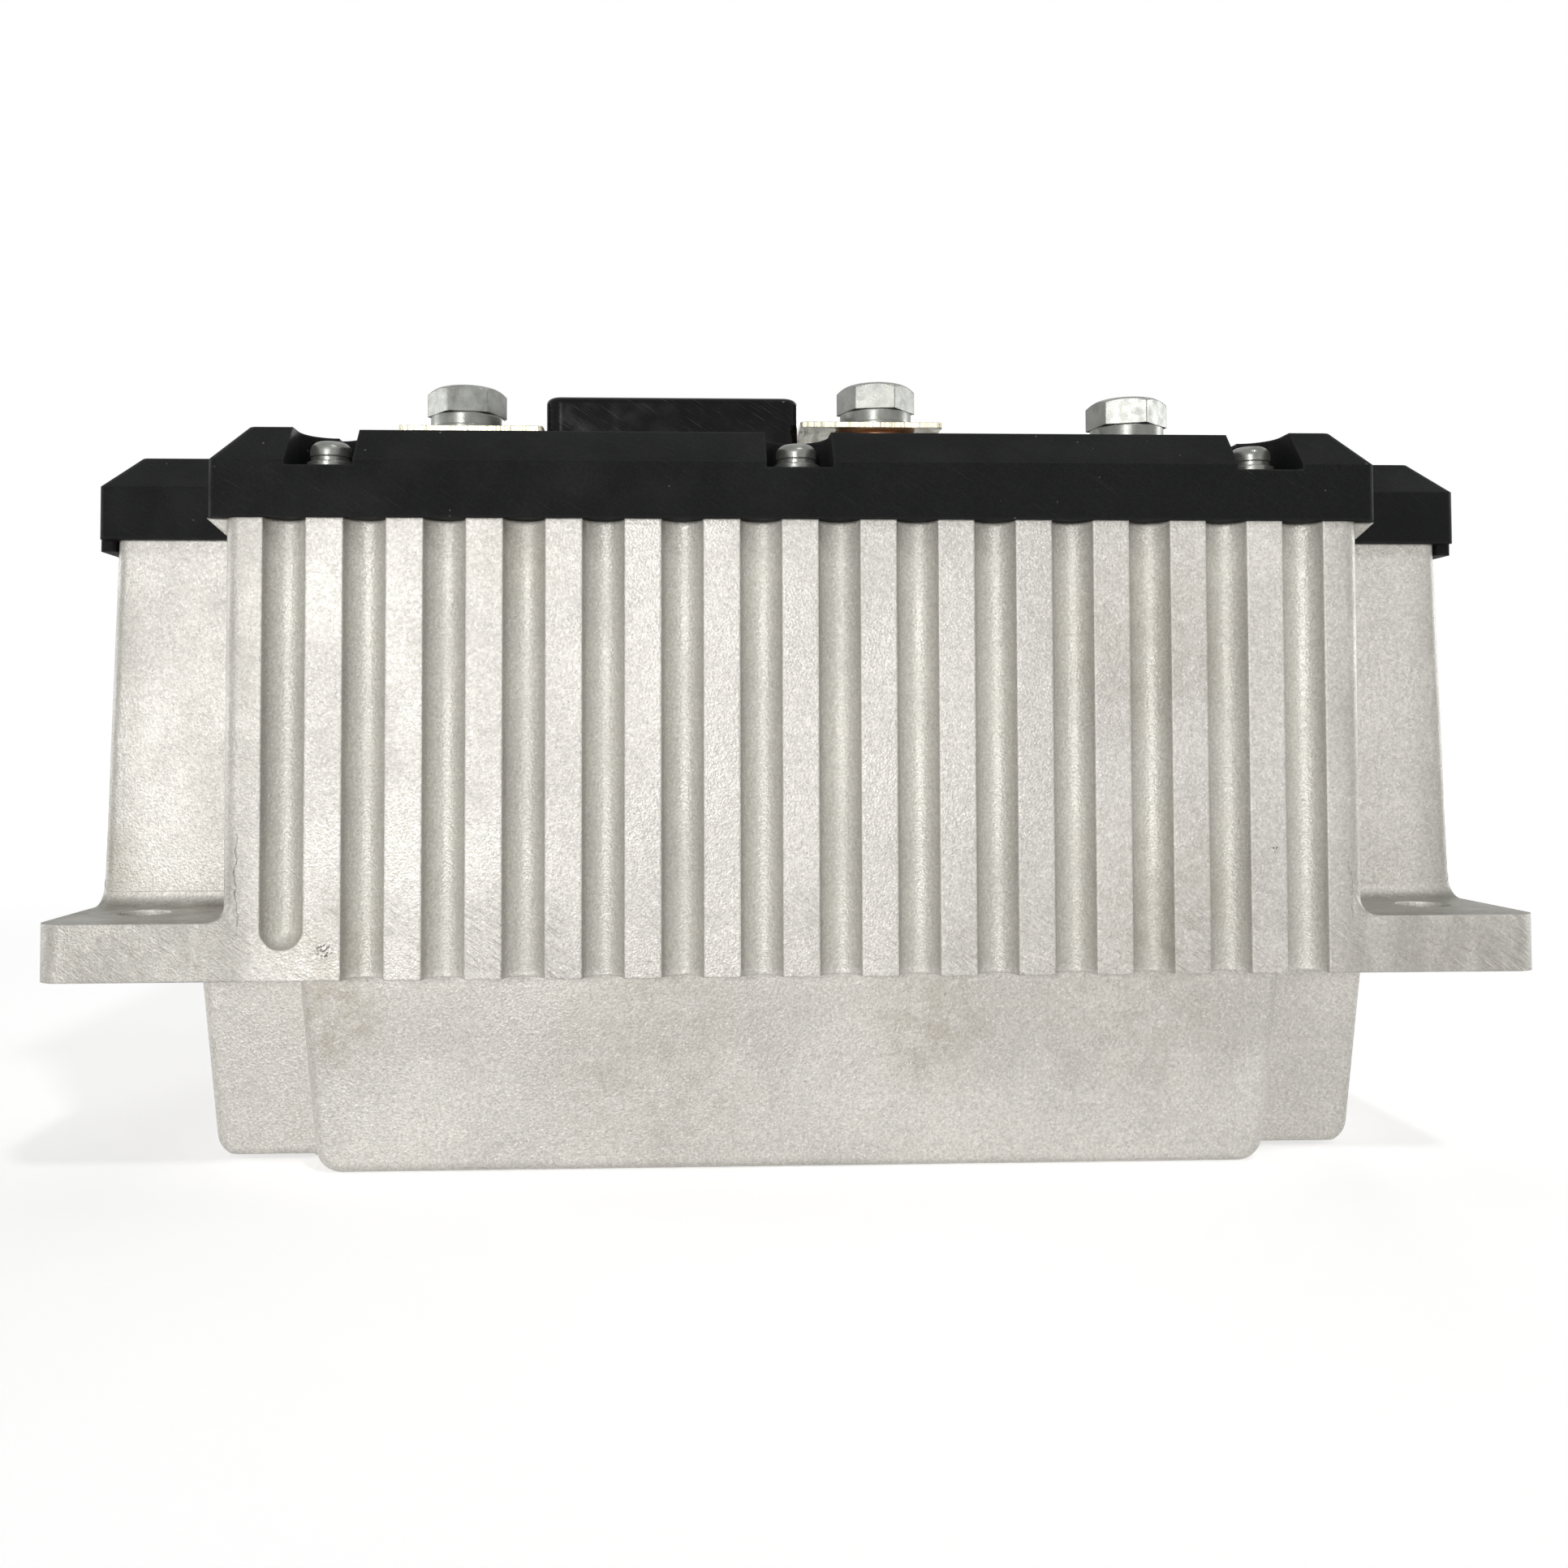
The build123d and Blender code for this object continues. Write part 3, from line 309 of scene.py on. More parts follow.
    def edge_mask(self, rounded: Socket) -> Socket:
        """Share of edge in a point.

        Args:
            rounded: The rounded normal.

        Returns:
            0 on a flat, towards 1 on an edge.
        """
        dot = self.node("ShaderNodeVectorMath", operation="DOT_PRODUCT")
        geometry = self.node("ShaderNodeNewGeometry")
        self.join(rounded, dot.inputs[0])
        self.join(geometry.outputs["Normal"], dot.inputs[1])
        return self.remap(dot.outputs["Value"], 0.995, 0.86, 0.0, 1.0)

    def bump(self, height: Socket, distance: float, normal: Socket, strength: float = 1.0) -> Socket:
        """Relief on top of a normal.

        Args:
            height: Relief height, 0 to 1.
            distance: Relief depth in metres.
            normal: The normal below it.
            strength: Share of the relief used.

        Returns:
            The new normal.
        """
        made = self.node("ShaderNodeBump")
        made.inputs["Strength"].default_value = strength
        made.inputs["Distance"].default_value = distance
        self.join(height, made.inputs["Height"])
        self.join(normal, made.inputs["Normal"])
        return made.outputs["Normal"]


# ---- Finishes ------------------------------------------------------------------------------------
@dataclass(frozen=True)
class Finish:
    """Surface with a grain, cloudy tone, uneven gloss and softened edges."""

    name: str
    colour: Colour
    metallic: float = 0.0
    roughness: tuple[float, float] = (0.4, 0.6)
    specular: float = 0.5
    grain: float = 0.4 * MM
    relief: float = 0.03 * MM
    grain_tone: float = 0.05
    cloud: float = 14.0 * MM
    cloud_tone: float = 0.08
    edge: float = 0.4 * MM
    edge_colour: Colour | None = None
    edge_amount: float = 0.5

    def tone(self, graph: Graph, colour: Socket, value: Socket, spread: float) -> Socket:
        """Darkens and lightens a colour by a pattern.

        Args:
            graph: The material's graph.
            colour: The colour so far.
            value: The pattern, around 0.5.
            spread: Change at each end of the pattern.

        Returns:
            The changed colour.
        """
        grey = graph.node("ShaderNodeCombineColor")
        level = graph.remap(value, 0.25, 0.75, 1.0 - spread, 1.0 + spread)
        for channel in ("Red", "Green", "Blue"):
            graph.join(level, grey.inputs[channel])
        return graph.blend(1.0, colour, grey.outputs["Color"], "MULTIPLY")

    def base(self, graph: Graph) -> Socket:
        """Base colour before edges and marks.

        Args:
            graph: The material's graph.

        Returns:
            The colour.
        """
        cloud = graph.noise(self.cloud, 4.0, 0.6)
        flat = graph.blend(cloud, self.colour, tuple(c * 0.97 for c in self.colour))
        colour = self.tone(graph, flat, cloud, self.cloud_tone)
        return self.tone(graph, colour, graph.noise(self.grain, 1.0), self.grain_tone)

    def marks(self, graph: Graph, colour: Socket) -> Socket:
        """Marks laid over the base colour; plain here."""
        return colour

    def height(self, graph: Graph) -> Socket:
        """Relief pattern.

        Args:
            graph: The material's graph.

        Returns:
            Height, 0 to 1.
        """
        return graph.noise(self.grain, 2.0, 0.6)

    def extra_relief(self, graph: Graph, normal: Socket) -> Socket:
        """Coarser relief below the grain; none here."""
        return normal

    def gloss(self, graph: Graph) -> Socket:
        """Uneven roughness."""
        return graph.remap(graph.noise(self.cloud * 0.6, 3.0), 0.3, 0.7, *self.roughness)

    def build(self) -> bpy.types.Material:
        """Makes the material.

        Returns:
            The material.
        """
        graph = Graph(self.name)
        rounded = graph.rounded_normal(self.edge)
        colour = self.marks(graph, self.base(graph))
        if self.edge_colour is not None:
            # Edge tint: a lighter or darker colour on the edges; on the zinc bolts it is painted shade.
            edge_tint = graph.sum("MULTIPLY", graph.edge_mask(rounded), self.edge_amount)
            colour = graph.blend(edge_tint, colour, self.edge_colour)
        shader = graph.shader.inputs
        graph.feed(shader["Base Color"], colour)
        shader["Metallic"].default_value = self.metallic
        shader["Specular IOR Level"].default_value = self.specular
        graph.feed(shader["Roughness"], self.gloss(graph))
        normal = self.extra_relief(graph, rounded)
        graph.feed(shader["Normal"], graph.bump(self.height(graph), self.relief, normal))
        return graph.material


@dataclass(frozen=True)
class Stain:
    """Cloudy discoloured patch."""

    centre: Point
    radius: float
    strength: float


@dataclass(frozen=True)
class CastFinish(Finish):
    """Bead-blasted die casting with sanded strips, stains, pits, painted glints, and painted shade at corners, on
    the ears' tops and in the flutes.
    """

    stains: tuple[Stain, ...] = ()
    pits: tuple[Stain, ...] = ()
    stain_colour: Colour = (0.30, 0.25, 0.19)
    sanded_low: float = 35.0 * MM
    sanded_high: float = 56.0 * MM
    # Strength and colour of the painted shade by the upright corners.
    corner_shade: float = 0.50
    corner_shade_colour: Colour = (0.22, 0.212, 0.18)
    sanded_colour: Colour = (0.88, 0.86, 0.81)
    pit_colour: Colour = (0.10, 0.10, 0.09)
    # Strength and colour of the painted shade on the ears' up-facing tops.
    top_shade: float = 0.62
    top_shade_colour: Colour = (0.14, 0.135, 0.105)
    # Strength and colour of the painted shade in the flutes.
    recess_shade_amount: float = 0.26
    recess_shade_colour: Colour = (0.33, 0.33, 0.27)

    def low_face(self, graph: Graph, full: float, end: float) -> Socket:
        """The blocks' flat faces above the ears' underside.

        Args:
            graph: The material's graph.
            full: Height up to which it is full.
            end: Height at which it ends.

        Returns:
            1 on the strip, 0 off it.
        """
        height = graph.axis("Z")
        above = graph.remap(height, self.sanded_low - MM, self.sanded_low + MM, 0.0, 1.0)
        below = graph.remap(height, full, end, 1.0, 0.0)
        flat = graph.remap(graph.off_middle("Y"), 84.2 * MM, 84.8 * MM, 0.0, 1.0)
        return graph.product(above, below, flat)

    def sanded(self, graph: Graph) -> Socket:
        """Where the strip above the ears' underside was linished by hand.

        Args:
            graph: The material's graph.

        Returns:
            Streaks, 0 to 1.
        """
        strip = self.low_face(graph, self.sanded_high - 12 * MM, self.sanded_high)
        patch = graph.remap(graph.noise(16.0 * MM, 3.0), 0.42, 0.62, 0.0, 1.0)
        streaks = graph.noise((5.0 * MM, 3.0 * MM, 0.16 * MM), 2.0, 0.6, (0.0, -38.0, 0.0))
        sharp = graph.remap(streaks, 0.50, 0.66, 0.0, 1.0)
        return graph.product(strip, patch, sharp)

    def scratched(self, graph: Graph) -> Socket:
        """Dark scratches beside the sanded streaks.

        Args:
            graph: The material's graph.

        Returns:
            Scratches, 0 to 1.
        """
        strip = self.low_face(graph, self.sanded_high - 16 * MM, self.sanded_high - 4 * MM)
        lines = graph.noise((4.0 * MM, 3.0 * MM, 0.22 * MM), 3.0, 0.7, (0.0, -30.0, 0.0))
        return graph.product(strip, graph.remap(lines, 0.56, 0.68, 0.0, 1.0))

    def painted_corner_shade(self, graph: Graph) -> Socket:
        """Painted shade: darker bands by the upright corners of the blocks, wings and ears, and in the notches'
        inner corners.

        Args:
            graph: The material's graph.

        Returns:
            Share of the painted corner shade colour.
        """
        across, along = graph.off_middle("X"), graph.off_middle("Y")
        near_face = graph.remap(along, 78.0 * MM, 82.0 * MM, 0.0, 1.0)
        block = graph.product(graph.remap(across, 86.0 * MM, 95.0 * MM, 0.0, self.corner_shade), near_face)
        wing = graph.product(graph.remap(across, 116.0 * MM, 123.5 * MM, 0.0, self.corner_shade),
                             graph.remap(along, 50.0 * MM, 57.0 * MM, 0.4, 1.0))
        inner = graph.product(graph.remap(across, 95.0 * MM, 102.0 * MM, 1.3 * self.corner_shade, 0.0),
                              graph.remap(along, 59.0 * MM, 64.0 * MM, 1.0, 0.0),
                              graph.remap(graph.axis("Z"), 44.0 * MM, 47.0 * MM, 0.0, 1.0))
        ear = graph.product(graph.remap(across, 118.0 * MM, 124.5 * MM, 0.0, 1.2 * self.corner_shade), near_face)
        cloud = graph.remap(graph.noise((5.0 * MM, 5.0 * MM, 17.0 * MM), 3.0, 0.6), 0.30, 0.58, 0.4, 1.0)
        total = graph.sum("MAXIMUM", graph.sum("MAXIMUM", block, wing), graph.sum("MAXIMUM", inner, ear))
        return graph.product(total, cloud)

    def painted_flute_shade(self, graph: Graph) -> Socket:
        """Painted shade down in the flutes.

        Args:
            graph: The material's graph.

        Returns:
            Share of the painted flute shade colour.
        """
        across, along = graph.off_middle("X"), graph.off_middle("Y")
        return graph.product(graph.remap(along, 80.6 * MM, 81.0 * MM, 0.0, self.recess_shade_amount),
                             graph.remap(along, 84.0 * MM, 84.7 * MM, 1.0, 0.0),
                             graph.remap(across, 91.0 * MM, 92.0 * MM, 1.0, 0.0),
                             graph.remap(graph.axis("Z"), 36.0 * MM, 37.0 * MM, 0.0, 1.0))

    def painted_top_shade(self, graph: Graph) -> Socket:
        """Painted shade on the ears' up-facing tops.

        Args:
            graph: The material's graph.

        Returns:
            Share of the painted top shade colour.
        """
        height = graph.axis("Z")
        cloud = graph.remap(graph.noise(6.0 * MM, 4.0, 0.7), 0.30, 0.60, 0.55, 1.0)
        return graph.product(graph.remap(graph.facing("Z"), 0.25, 0.9, 0.0, self.top_shade),
                             graph.remap(height, 42.0 * MM, 44.0 * MM, 0.0, 1.0),
                             graph.remap(height, 48.0 * MM, 53.0 * MM, 1.0, 0.0), cloud)

    def base(self, graph: Graph) -> Socket:
        """Warm light grey with a grain of dark specks, and bright specks that are painted glints."""
        colour = super().base(graph)
        sparkle = graph.node("ShaderNodeSeparateColor")
        graph.join(graph.cells(0.27 * MM, "Color"), sparkle.inputs["Color"])
        # The bright specks are painted glints; the dark specks are grain.
        bright = graph.remap(sparkle.outputs["Red"], 0.78, 1.0, 0.0, 0.45)
        dark = graph.remap(sparkle.outputs["Green"], 0.74, 1.0, 0.0, 0.38)
        colour = graph.blend(bright, colour, (0.92, 0.90, 0.86))
        return graph.blend(dark, colour, tuple(c * 0.5 for c in self.colour))

    def marks(self, graph: Graph, colour: Socket) -> Socket:
        """Painted shade at the corners, on the ears' tops and in the flutes, then stains, pits and sanding marks.
        """
        ragged = graph.remap(graph.noise(3.2 * MM, 4.0, 0.7), 0.38, 0.66, 0.15, 1.0)
        # Painted shade by the upright corners and in the notches' inner corners.
        colour = graph.blend(self.painted_corner_shade(graph), colour, self.corner_shade_colour)
        # Painted shade on the ears' up-facing tops.
        colour = graph.blend(self.painted_top_shade(graph), colour, self.top_shade_colour)
        # Painted shade in the flutes.
        colour = graph.blend(self.painted_flute_shade(graph), colour, self.recess_shade_colour)
        for stain in self.stains:
            spot = graph.spot(stain.centre, stain.radius * 0.2, stain.radius)
            colour = graph.blend(graph.product(spot, ragged, stain.strength), colour, self.stain_colour)
        for pit in self.pits:
            spot = graph.spot(pit.centre, pit.radius * 0.4, pit.radius)
            crumbs = graph.remap(graph.noise(0.5 * MM, 2.0), 0.50, 0.56, 0.0, pit.strength)
            colour = graph.blend(graph.product(spot, crumbs), colour, self.pit_colour)
        colour = graph.blend(graph.product(self.sanded(graph), 0.55), colour, self.sanded_colour)
        return graph.blend(graph.product(self.scratched(graph), 0.6), colour, self.stain_colour)

    def height(self, graph: Graph) -> Socket:
        """Blasted dimples over a finer grain."""
        dimples = graph.cells(0.42 * MM)
        fine = graph.noise(0.22 * MM, 2.0, 0.6)
        return graph.sum("ADD", graph.sum("MULTIPLY", dimples, 0.6), graph.sum("MULTIPLY", fine, 0.5))

    def extra_relief(self, graph: Graph, normal: Socket) -> Socket:
        """Gentle waviness of the cast skin, with the sanding scratches."""
        wavy = graph.bump(graph.noise(9.0 * MM, 2.0), 0.16 * MM, normal, 0.8)
        return graph.bump(self.sanded(graph), 0.06 * MM, wavy)


@dataclass(frozen=True)
class MouldedFinish(Finish):
    """Moulded plastic with a spark-eroded texture, handling marks and a few bright specks."""

    speck: float = 2.4 * MM
    speck_amount: float = 0.35
    scratch_amount: float = 0.10

    def marks(self, graph: Graph, colour: Socket) -> Socket:
        """Specks of dust and faint scuffs."""
        chance = graph.node("ShaderNodeSeparateColor")
        graph.join(graph.cells(self.speck, "Color"), chance.inputs["Color"])
        few = graph.remap(chance.outputs["Red"], 0.80, 0.84, 0.0, self.speck_amount)
        specks = graph.sum("MULTIPLY", few, graph.remap(graph.cells(self.speck), 0.10, 0.04, 0.0, 1.0))
        colour = graph.blend(specks, colour, (0.32, 0.32, 0.31))
        scuff = graph.noise((6.0 * MM, 6.0 * MM, 0.12 * MM), 2.0, 0.6, (20.0, -32.0, 15.0))
        amount = graph.remap(scuff, 0.62, 0.72, 0.0, self.scratch_amount)
        return graph.blend(amount, colour, (0.12, 0.12, 0.12))


@dataclass(frozen=True)
class PlatedFinish(Finish):
    """Zinc or tin plate with a fine crystalline mottle and darker handling smears."""

    smear_colour: Colour = (0.28, 0.27, 0.24)
    smear_amount: float = 0.35

    def marks(self, graph: Graph, colour: Socket) -> Socket:
        """Dull smears."""
        smear = graph.remap(graph.noise(2.6 * MM, 4.0, 0.7), 0.52, 0.72, 0.0, self.smear_amount)
        return graph.blend(smear, colour, self.smear_colour)


@dataclass(frozen=True)
class ShearedFinish(PlatedFinish):
    """Tinned plate whose cut edges carry upright shear marks."""

    mark_width: float = 0.35 * MM
    mark_colour: Colour = (0.09, 0.07, 0.03)

    def marks(self, graph: Graph, colour: Socket) -> Socket:
        """Smears on the flat, and dark upright lines on the cut edges."""
        colour = super().marks(graph, colour)
        side = graph.remap(graph.sum("ABSOLUTE", graph.facing("Z"), 0.0), 0.3, 0.6, 1.0, 0.0)
        lines = graph.noise((self.mark_width, self.mark_width, 40.0 * MM), 2.0, 0.7)
        dark = graph.product(side, graph.remap(lines, 0.48, 0.62, 0.0, 0.55))
        return graph.blend(dark, colour, self.mark_colour)

    def extra_relief(self, graph: Graph, normal: Socket) -> Socket:
        """Upright striations from the shear."""
        lines = graph.noise((self.mark_width, self.mark_width, 40.0 * MM), 3.0, 0.7)
        return graph.bump(lines, 0.12 * MM, normal)


def finishes() -> dict[Slot, Finish]:
    """Every finish of the controller.

    Returns:
        One finish for each material slot.
    """
    stains = (
        Stain((-80.0 * MM, -72.0 * MM, 27.0 * MM), 13.0 * MM, 0.55),
        Stain((-78.0 * MM, -85.0 * MM, 42.0 * MM), 12.0 * MM, 0.30),
        Stain((24.0 * MM, -72.0 * MM, 25.0 * MM), 17.0 * MM, 0.42),
        Stain((-24.0 * MM, -72.0 * MM, 20.0 * MM), 26.0 * MM, 0.30),
        Stain((-47.0 * MM, -85.0 * MM, 105.0 * MM), 10.0 * MM, 0.35),
        Stain((60.0 * MM, -72.0 * MM, 30.0 * MM), 26.0 * MM, 0.26),
        Stain((62.0 * MM, -85.0 * MM, 50.0 * MM), 22.0 * MM, 0.30),
        Stain((58.0 * MM, -85.0 * MM, 92.0 * MM), 24.0 * MM, 0.26),
        Stain((-123.0 * MM, -57.0 * MM, 52.0 * MM), 9.0 * MM, 0.34),
        Stain((95.0 * MM, 40.0 * MM, 30.0 * MM), 22.0 * MM, 0.30),
        Stain((-40.0 * MM, 85.0 * MM, 60.0 * MM), 20.0 * MM, 0.28),
        Stain((-125.0 * MM, 10.0 * MM, 80.0 * MM), 20.0 * MM, 0.26),
        Stain((125.0 * MM, -15.0 * MM, 70.0 * MM), 20.0 * MM, 0.26),
    )
    pits = (
        Stain((-78.2 * MM, -85.0 * MM, 40.6 * MM), 1.9 * MM, 1.0),
        Stain((79.6 * MM, -85.0 * MM, 56.4 * MM), 0.9 * MM, 0.9),
        Stain((1.5 * MM, -70.5 * MM, 15.2 * MM), 0.7 * MM, 0.9),
        Stain((48.0 * MM, -85.0 * MM, 49.5 * MM), 1.2 * MM, 0.5),
    )
    return {
        Slot.CASTING: CastFinish("cast aluminium", (0.60, 0.58, 0.54), 0.22, (0.40, 0.52), relief=0.09 * MM,
                                 grain=0.55 * MM, grain_tone=0.12, cloud=26.0 * MM, cloud_tone=0.10,
                                 edge=0.55 * MM, edge_colour=(0.74, 0.72, 0.67), edge_amount=0.35,
                                 stains=stains, pits=pits),
        Slot.COVER: MouldedFinish("cover plastic", (0.0095, 0.0098, 0.0102), 0.0, (0.52, 0.68), specular=0.06,
                                  grain=0.36 * MM, relief=0.045 * MM, grain_tone=0.20, cloud=18.0 * MM,
                                  cloud_tone=0.07, edge=0.7 * MM, edge_colour=(0.045, 0.045, 0.046),
                                  edge_amount=0.5),
        Slot.SEAL: Finish("seal rubber", (0.02, 0.02, 0.02), 0.0, (0.7, 0.85), grain=0.3 * MM, edge=0.2 * MM),
        # The zinc's darker edge colour is painted shade at the bolts' edges.
        Slot.ZINC: PlatedFinish("zinc plated steel", (0.20, 0.205, 0.19), 0.68, (0.26, 0.40), grain=0.18 * MM,
                                relief=0.012 * MM, grain_tone=0.10, cloud=3.0 * MM, cloud_tone=0.16,
                                edge=0.35 * MM, edge_colour=(0.16, 0.16, 0.15), edge_amount=0.55),
        Slot.PLATE: ShearedFinish("tinned plate", (0.70, 0.66, 0.52), 0.80, (0.30, 0.45), grain=0.25 * MM,
                                  relief=0.01 * MM, grain_tone=0.08, cloud=4.0 * MM, cloud_tone=0.14,
                                  edge=0.2 * MM, smear_colour=(0.42, 0.37, 0.24), smear_amount=0.2),
        Slot.POST: PlatedFinish("bare copper", (0.62, 0.34, 0.20), 0.92, (0.28, 0.45), grain=0.25 * MM,
                                relief=0.01 * MM, cloud=4.0 * MM, cloud_tone=0.16, edge=0.2 * MM,
                                smear_colour=(0.25, 0.13, 0.08)),
        Slot.SOCKET: MouldedFinish("socket moulding", (0.003, 0.003, 0.0034), 0.0, (0.10, 0.22),
                                   specular=0.13, grain=0.9 * MM, relief=0.006 * MM, grain_tone=0.1, cloud=7.0 * MM,
                                   cloud_tone=0.15, edge=0.4 * MM, edge_colour=(0.05, 0.05, 0.052),
                                   edge_amount=0.4, speck=3.4 * MM, scratch_amount=0.35),
        Slot.PIN: PlatedFinish("tinned pin", (0.74, 0.72, 0.66), 0.95, (0.2, 0.32), grain=0.15 * MM,
                               relief=0.004 * MM, cloud=1.5 * MM, edge=0.08 * MM),
        Slot.BOARD: Finish("green laminate", (0.012, 0.10, 0.035), 0.0, (0.28, 0.4), grain=0.8 * MM,
                           relief=0.01 * MM, cloud=9.0 * MM, cloud_tone=0.15, edge=0.15 * MM,
                           edge_colour=(0.32, 0.30, 0.16), edge_amount=0.5),
        Slot.INNER_STEEL: PlatedFinish("inner steel", (0.56, 0.57, 0.56), 0.88, (0.28, 0.42), grain=0.2 * MM,
                                       relief=0.01 * MM, cloud=3.5 * MM, cloud_tone=0.12, edge=0.2 * MM),
        Slot.CHIP: Finish("chip moulding", (0.018, 0.018, 0.019), 0.0, (0.45, 0.6), grain=0.2 * MM,
                          relief=0.02 * MM, edge=0.2 * MM),
        Slot.PAD: Finish("silicone pad", (0.34, 0.40, 0.46), 0.0, (0.6, 0.8), grain=0.4 * MM, edge=0.2 * MM),
        Slot.CAN: Finish("sleeved can", (0.012, 0.018, 0.06), 0.0, (0.25, 0.4), grain=0.5 * MM,
                         relief=0.01 * MM, edge=0.5 * MM),
        Slot.FILM: Finish("resin box", (0.42, 0.06, 0.02), 0.0, (0.3, 0.45), grain=0.5 * MM,
                          relief=0.01 * MM, edge=0.4 * MM),
        Slot.FERRITE: Finish("sintered ferrite", (0.05, 0.05, 0.052), 0.1, (0.6, 0.75), grain=0.3 * MM,
                             relief=0.03 * MM, edge=0.3 * MM),
        Slot.WINDING: PlatedFinish("enamelled winding", (0.50, 0.20, 0.07), 0.75, (0.2, 0.35),
                                   grain=0.8 * MM, relief=0.06 * MM, edge=0.3 * MM,
                                   smear_colour=(0.20, 0.08, 0.03)),
    }


@dataclass
class Wardrobe:
    """Materials of the controller, one for each slot."""

    materials: dict[Slot, bpy.types.Material] = field(default_factory=dict)

    def stock(self) -> None:
        """Builds every material."""
        for slot, finish in finishes().items():
            self.materials[slot] = finish.build()
            LOG.info("finish %s for slot %s", finish.name, slot.value)

    def dress(self, thing: bpy.types.Object, slot: Slot) -> None:
        """Puts a slot's material on an object.

        Args:
            thing: The object.
            slot: Its material slot.
        """
        thing.data.materials.clear()
        thing.data.materials.append(self.materials[slot])


@dataclass
class Machine:
    """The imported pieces, dressed in the record's slots."""

    frame: dict
    wardrobe: Wardrobe

    def build(self) -> None:
        """Dresses every node."""
        slots = {part["node"]: Slot(part["material_slot"]) for part in self.frame["record"]["subparts"]}
        for name, thing in self.frame["nodes"].items():
            self.wardrobe.dress(thing, slots[name])
            LOG.info("dressed %s as %s", name, slots[name].value)


# ---- Added pieces --------------------------------------------------------------------------------
def make_mesh(name: str, points: Iterable[Point], faces: Iterable[tuple[int, ...]],
              smooth: bool = True) -> bpy.types.Object:
    """Makes a mesh object in the scene.

    Args:
        name: The object's name.
        points: Its points, in metres.
        faces: Point indices of each face.
        smooth: Whether it shades smoothly up to 40 degrees.

    Returns:
        The object.
    """
    mesh = bpy.data.meshes.new(name)
    mesh.from_pydata([tuple(p) for p in points], [], [tuple(f) for f in faces])
    mesh.validate()
    mesh.update()
    thing = bpy.data.objects.new(name, mesh)
    bpy.context.scene.collection.objects.link(thing)
    if smooth:
        mesh.shade_smooth()
        mesh.set_sharp_from_angle(angle=math.radians(40.0))
    return thing


@dataclass
class NotchCoves:
    """Cast coves where the notch walls meet the tops of the ears."""

    wardrobe: Wardrobe
    block_half: float = 95.0 * MM
    face: float = 85.0 * MM
    wing_half: float = 125.0 * MM
    wing_face: float = 57.5 * MM
    ear_top: float = 45.2 * MM
    radius: float = 2.6 * MM
    corner: float = 4.5 * MM
    block_edge: float = 2.5 * MM
    wing_edge: float = 2.2 * MM
    bury: float = 0.4 * MM
    inset: float = 0.03 * MM
    arc_steps: int = 10
    edge_steps: int = 8

    def profile(self, wall: Vector, outward: Vector, reach: float) -> list[Point]:
        """Closed section of the cove.

        Args:
            wall: Plan point on the wall.
            outward: Unit plan vector away from the wall.
            reach: Cove radius here.

        Returns:
            Points around the section: the hollow arc, then three buried corners.
        """
        points = []
        for i in range(self.arc_steps + 1):
            angle = math.radians(90.0 * i / self.arc_steps)
            place = wall + outward * reach * (1.0 - math.cos(angle))
            points.append((place.x, place.y, self.ear_top + reach * (1.0 - math.sin(angle))))
        back, front = wall - outward * self.bury, wall + outward * reach
        points.append((front.x, front.y, self.ear_top - self.bury))
        points.append((back.x, back.y, self.ear_top - self.bury))
        points.append((back.x, back.y, self.ear_top + reach))
        return points

    def sections(self) -> list[list[Point]]:
        """Sections from the front face to the wing's outer side, for the +X, +Y notch.

        Returns:
            One point list for each section.
        """
        rows = []
        for i in range(self.edge_steps + 1):
            back = self.block_edge * (1.0 - math.cos(math.radians(90.0 * i / self.edge_steps)))
            drop = math.sqrt(max(0.0, self.block_edge ** 2 - (self.block_edge - back) ** 2))
            wall = Vector((self.block_half - self.block_edge + drop, self.face - self.inset - back))
            rows.append(self.profile(wall, Vector((1.0, 0.0)), self.radius + self.block_edge - drop))
        centre = Vector((self.block_half + self.corner, self.wing_face + self.corner))
        for i in range(self.edge_steps + 1):
            angle = math.radians(90.0 * i / self.edge_steps)
            inward = Vector((math.cos(angle), math.sin(angle)))
            rows.append(self.profile(centre - inward * self.corner, inward, self.radius))
        for i in range(self.edge_steps + 1):
            out = self.wing_edge * math.sin(math.radians(90.0 * i / self.edge_steps))
            drop = math.sqrt(max(0.0, self.wing_edge ** 2 - out ** 2))
            wall = Vector((self.wing_half - self.inset - self.wing_edge + out,
                           self.wing_face - self.wing_edge + drop))
            rows.append(self.profile(wall, Vector((0.0, 1.0)), self.radius + self.wing_edge - drop))
        return rows

    def build(self) -> None:
        """Makes one cove in each notch."""
        rows = self.sections()
        count = len(rows[0])
        for side_x in (-1, 1):
            for side_y in (-1, 1):
                points = [(side_x * x, side_y * y, z) for row in rows for x, y, z in row]
                faces = []
                for i in range(len(rows) - 1):
                    for j in range(count):
                        a, b = i * count + j, i * count + (j + 1) % count
                        faces.append((a, b, b + count, a + count))
                faces += [tuple(reversed(range(count))), tuple(range(len(points) - count, len(points)))]
                if side_x * side_y > 0:
                    faces = [tuple(reversed(f)) for f in faces]
                name = f"cove_{'right' if side_x > 0 else 'left'}_{'back' if side_y > 0 else 'front'}"
                cove = make_mesh(name, points, faces)
                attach(cove, Body.CONTROLLER.value)
                self.wardrobe.dress(cove, Slot.CASTING)
                LOG.info("built %s", name)


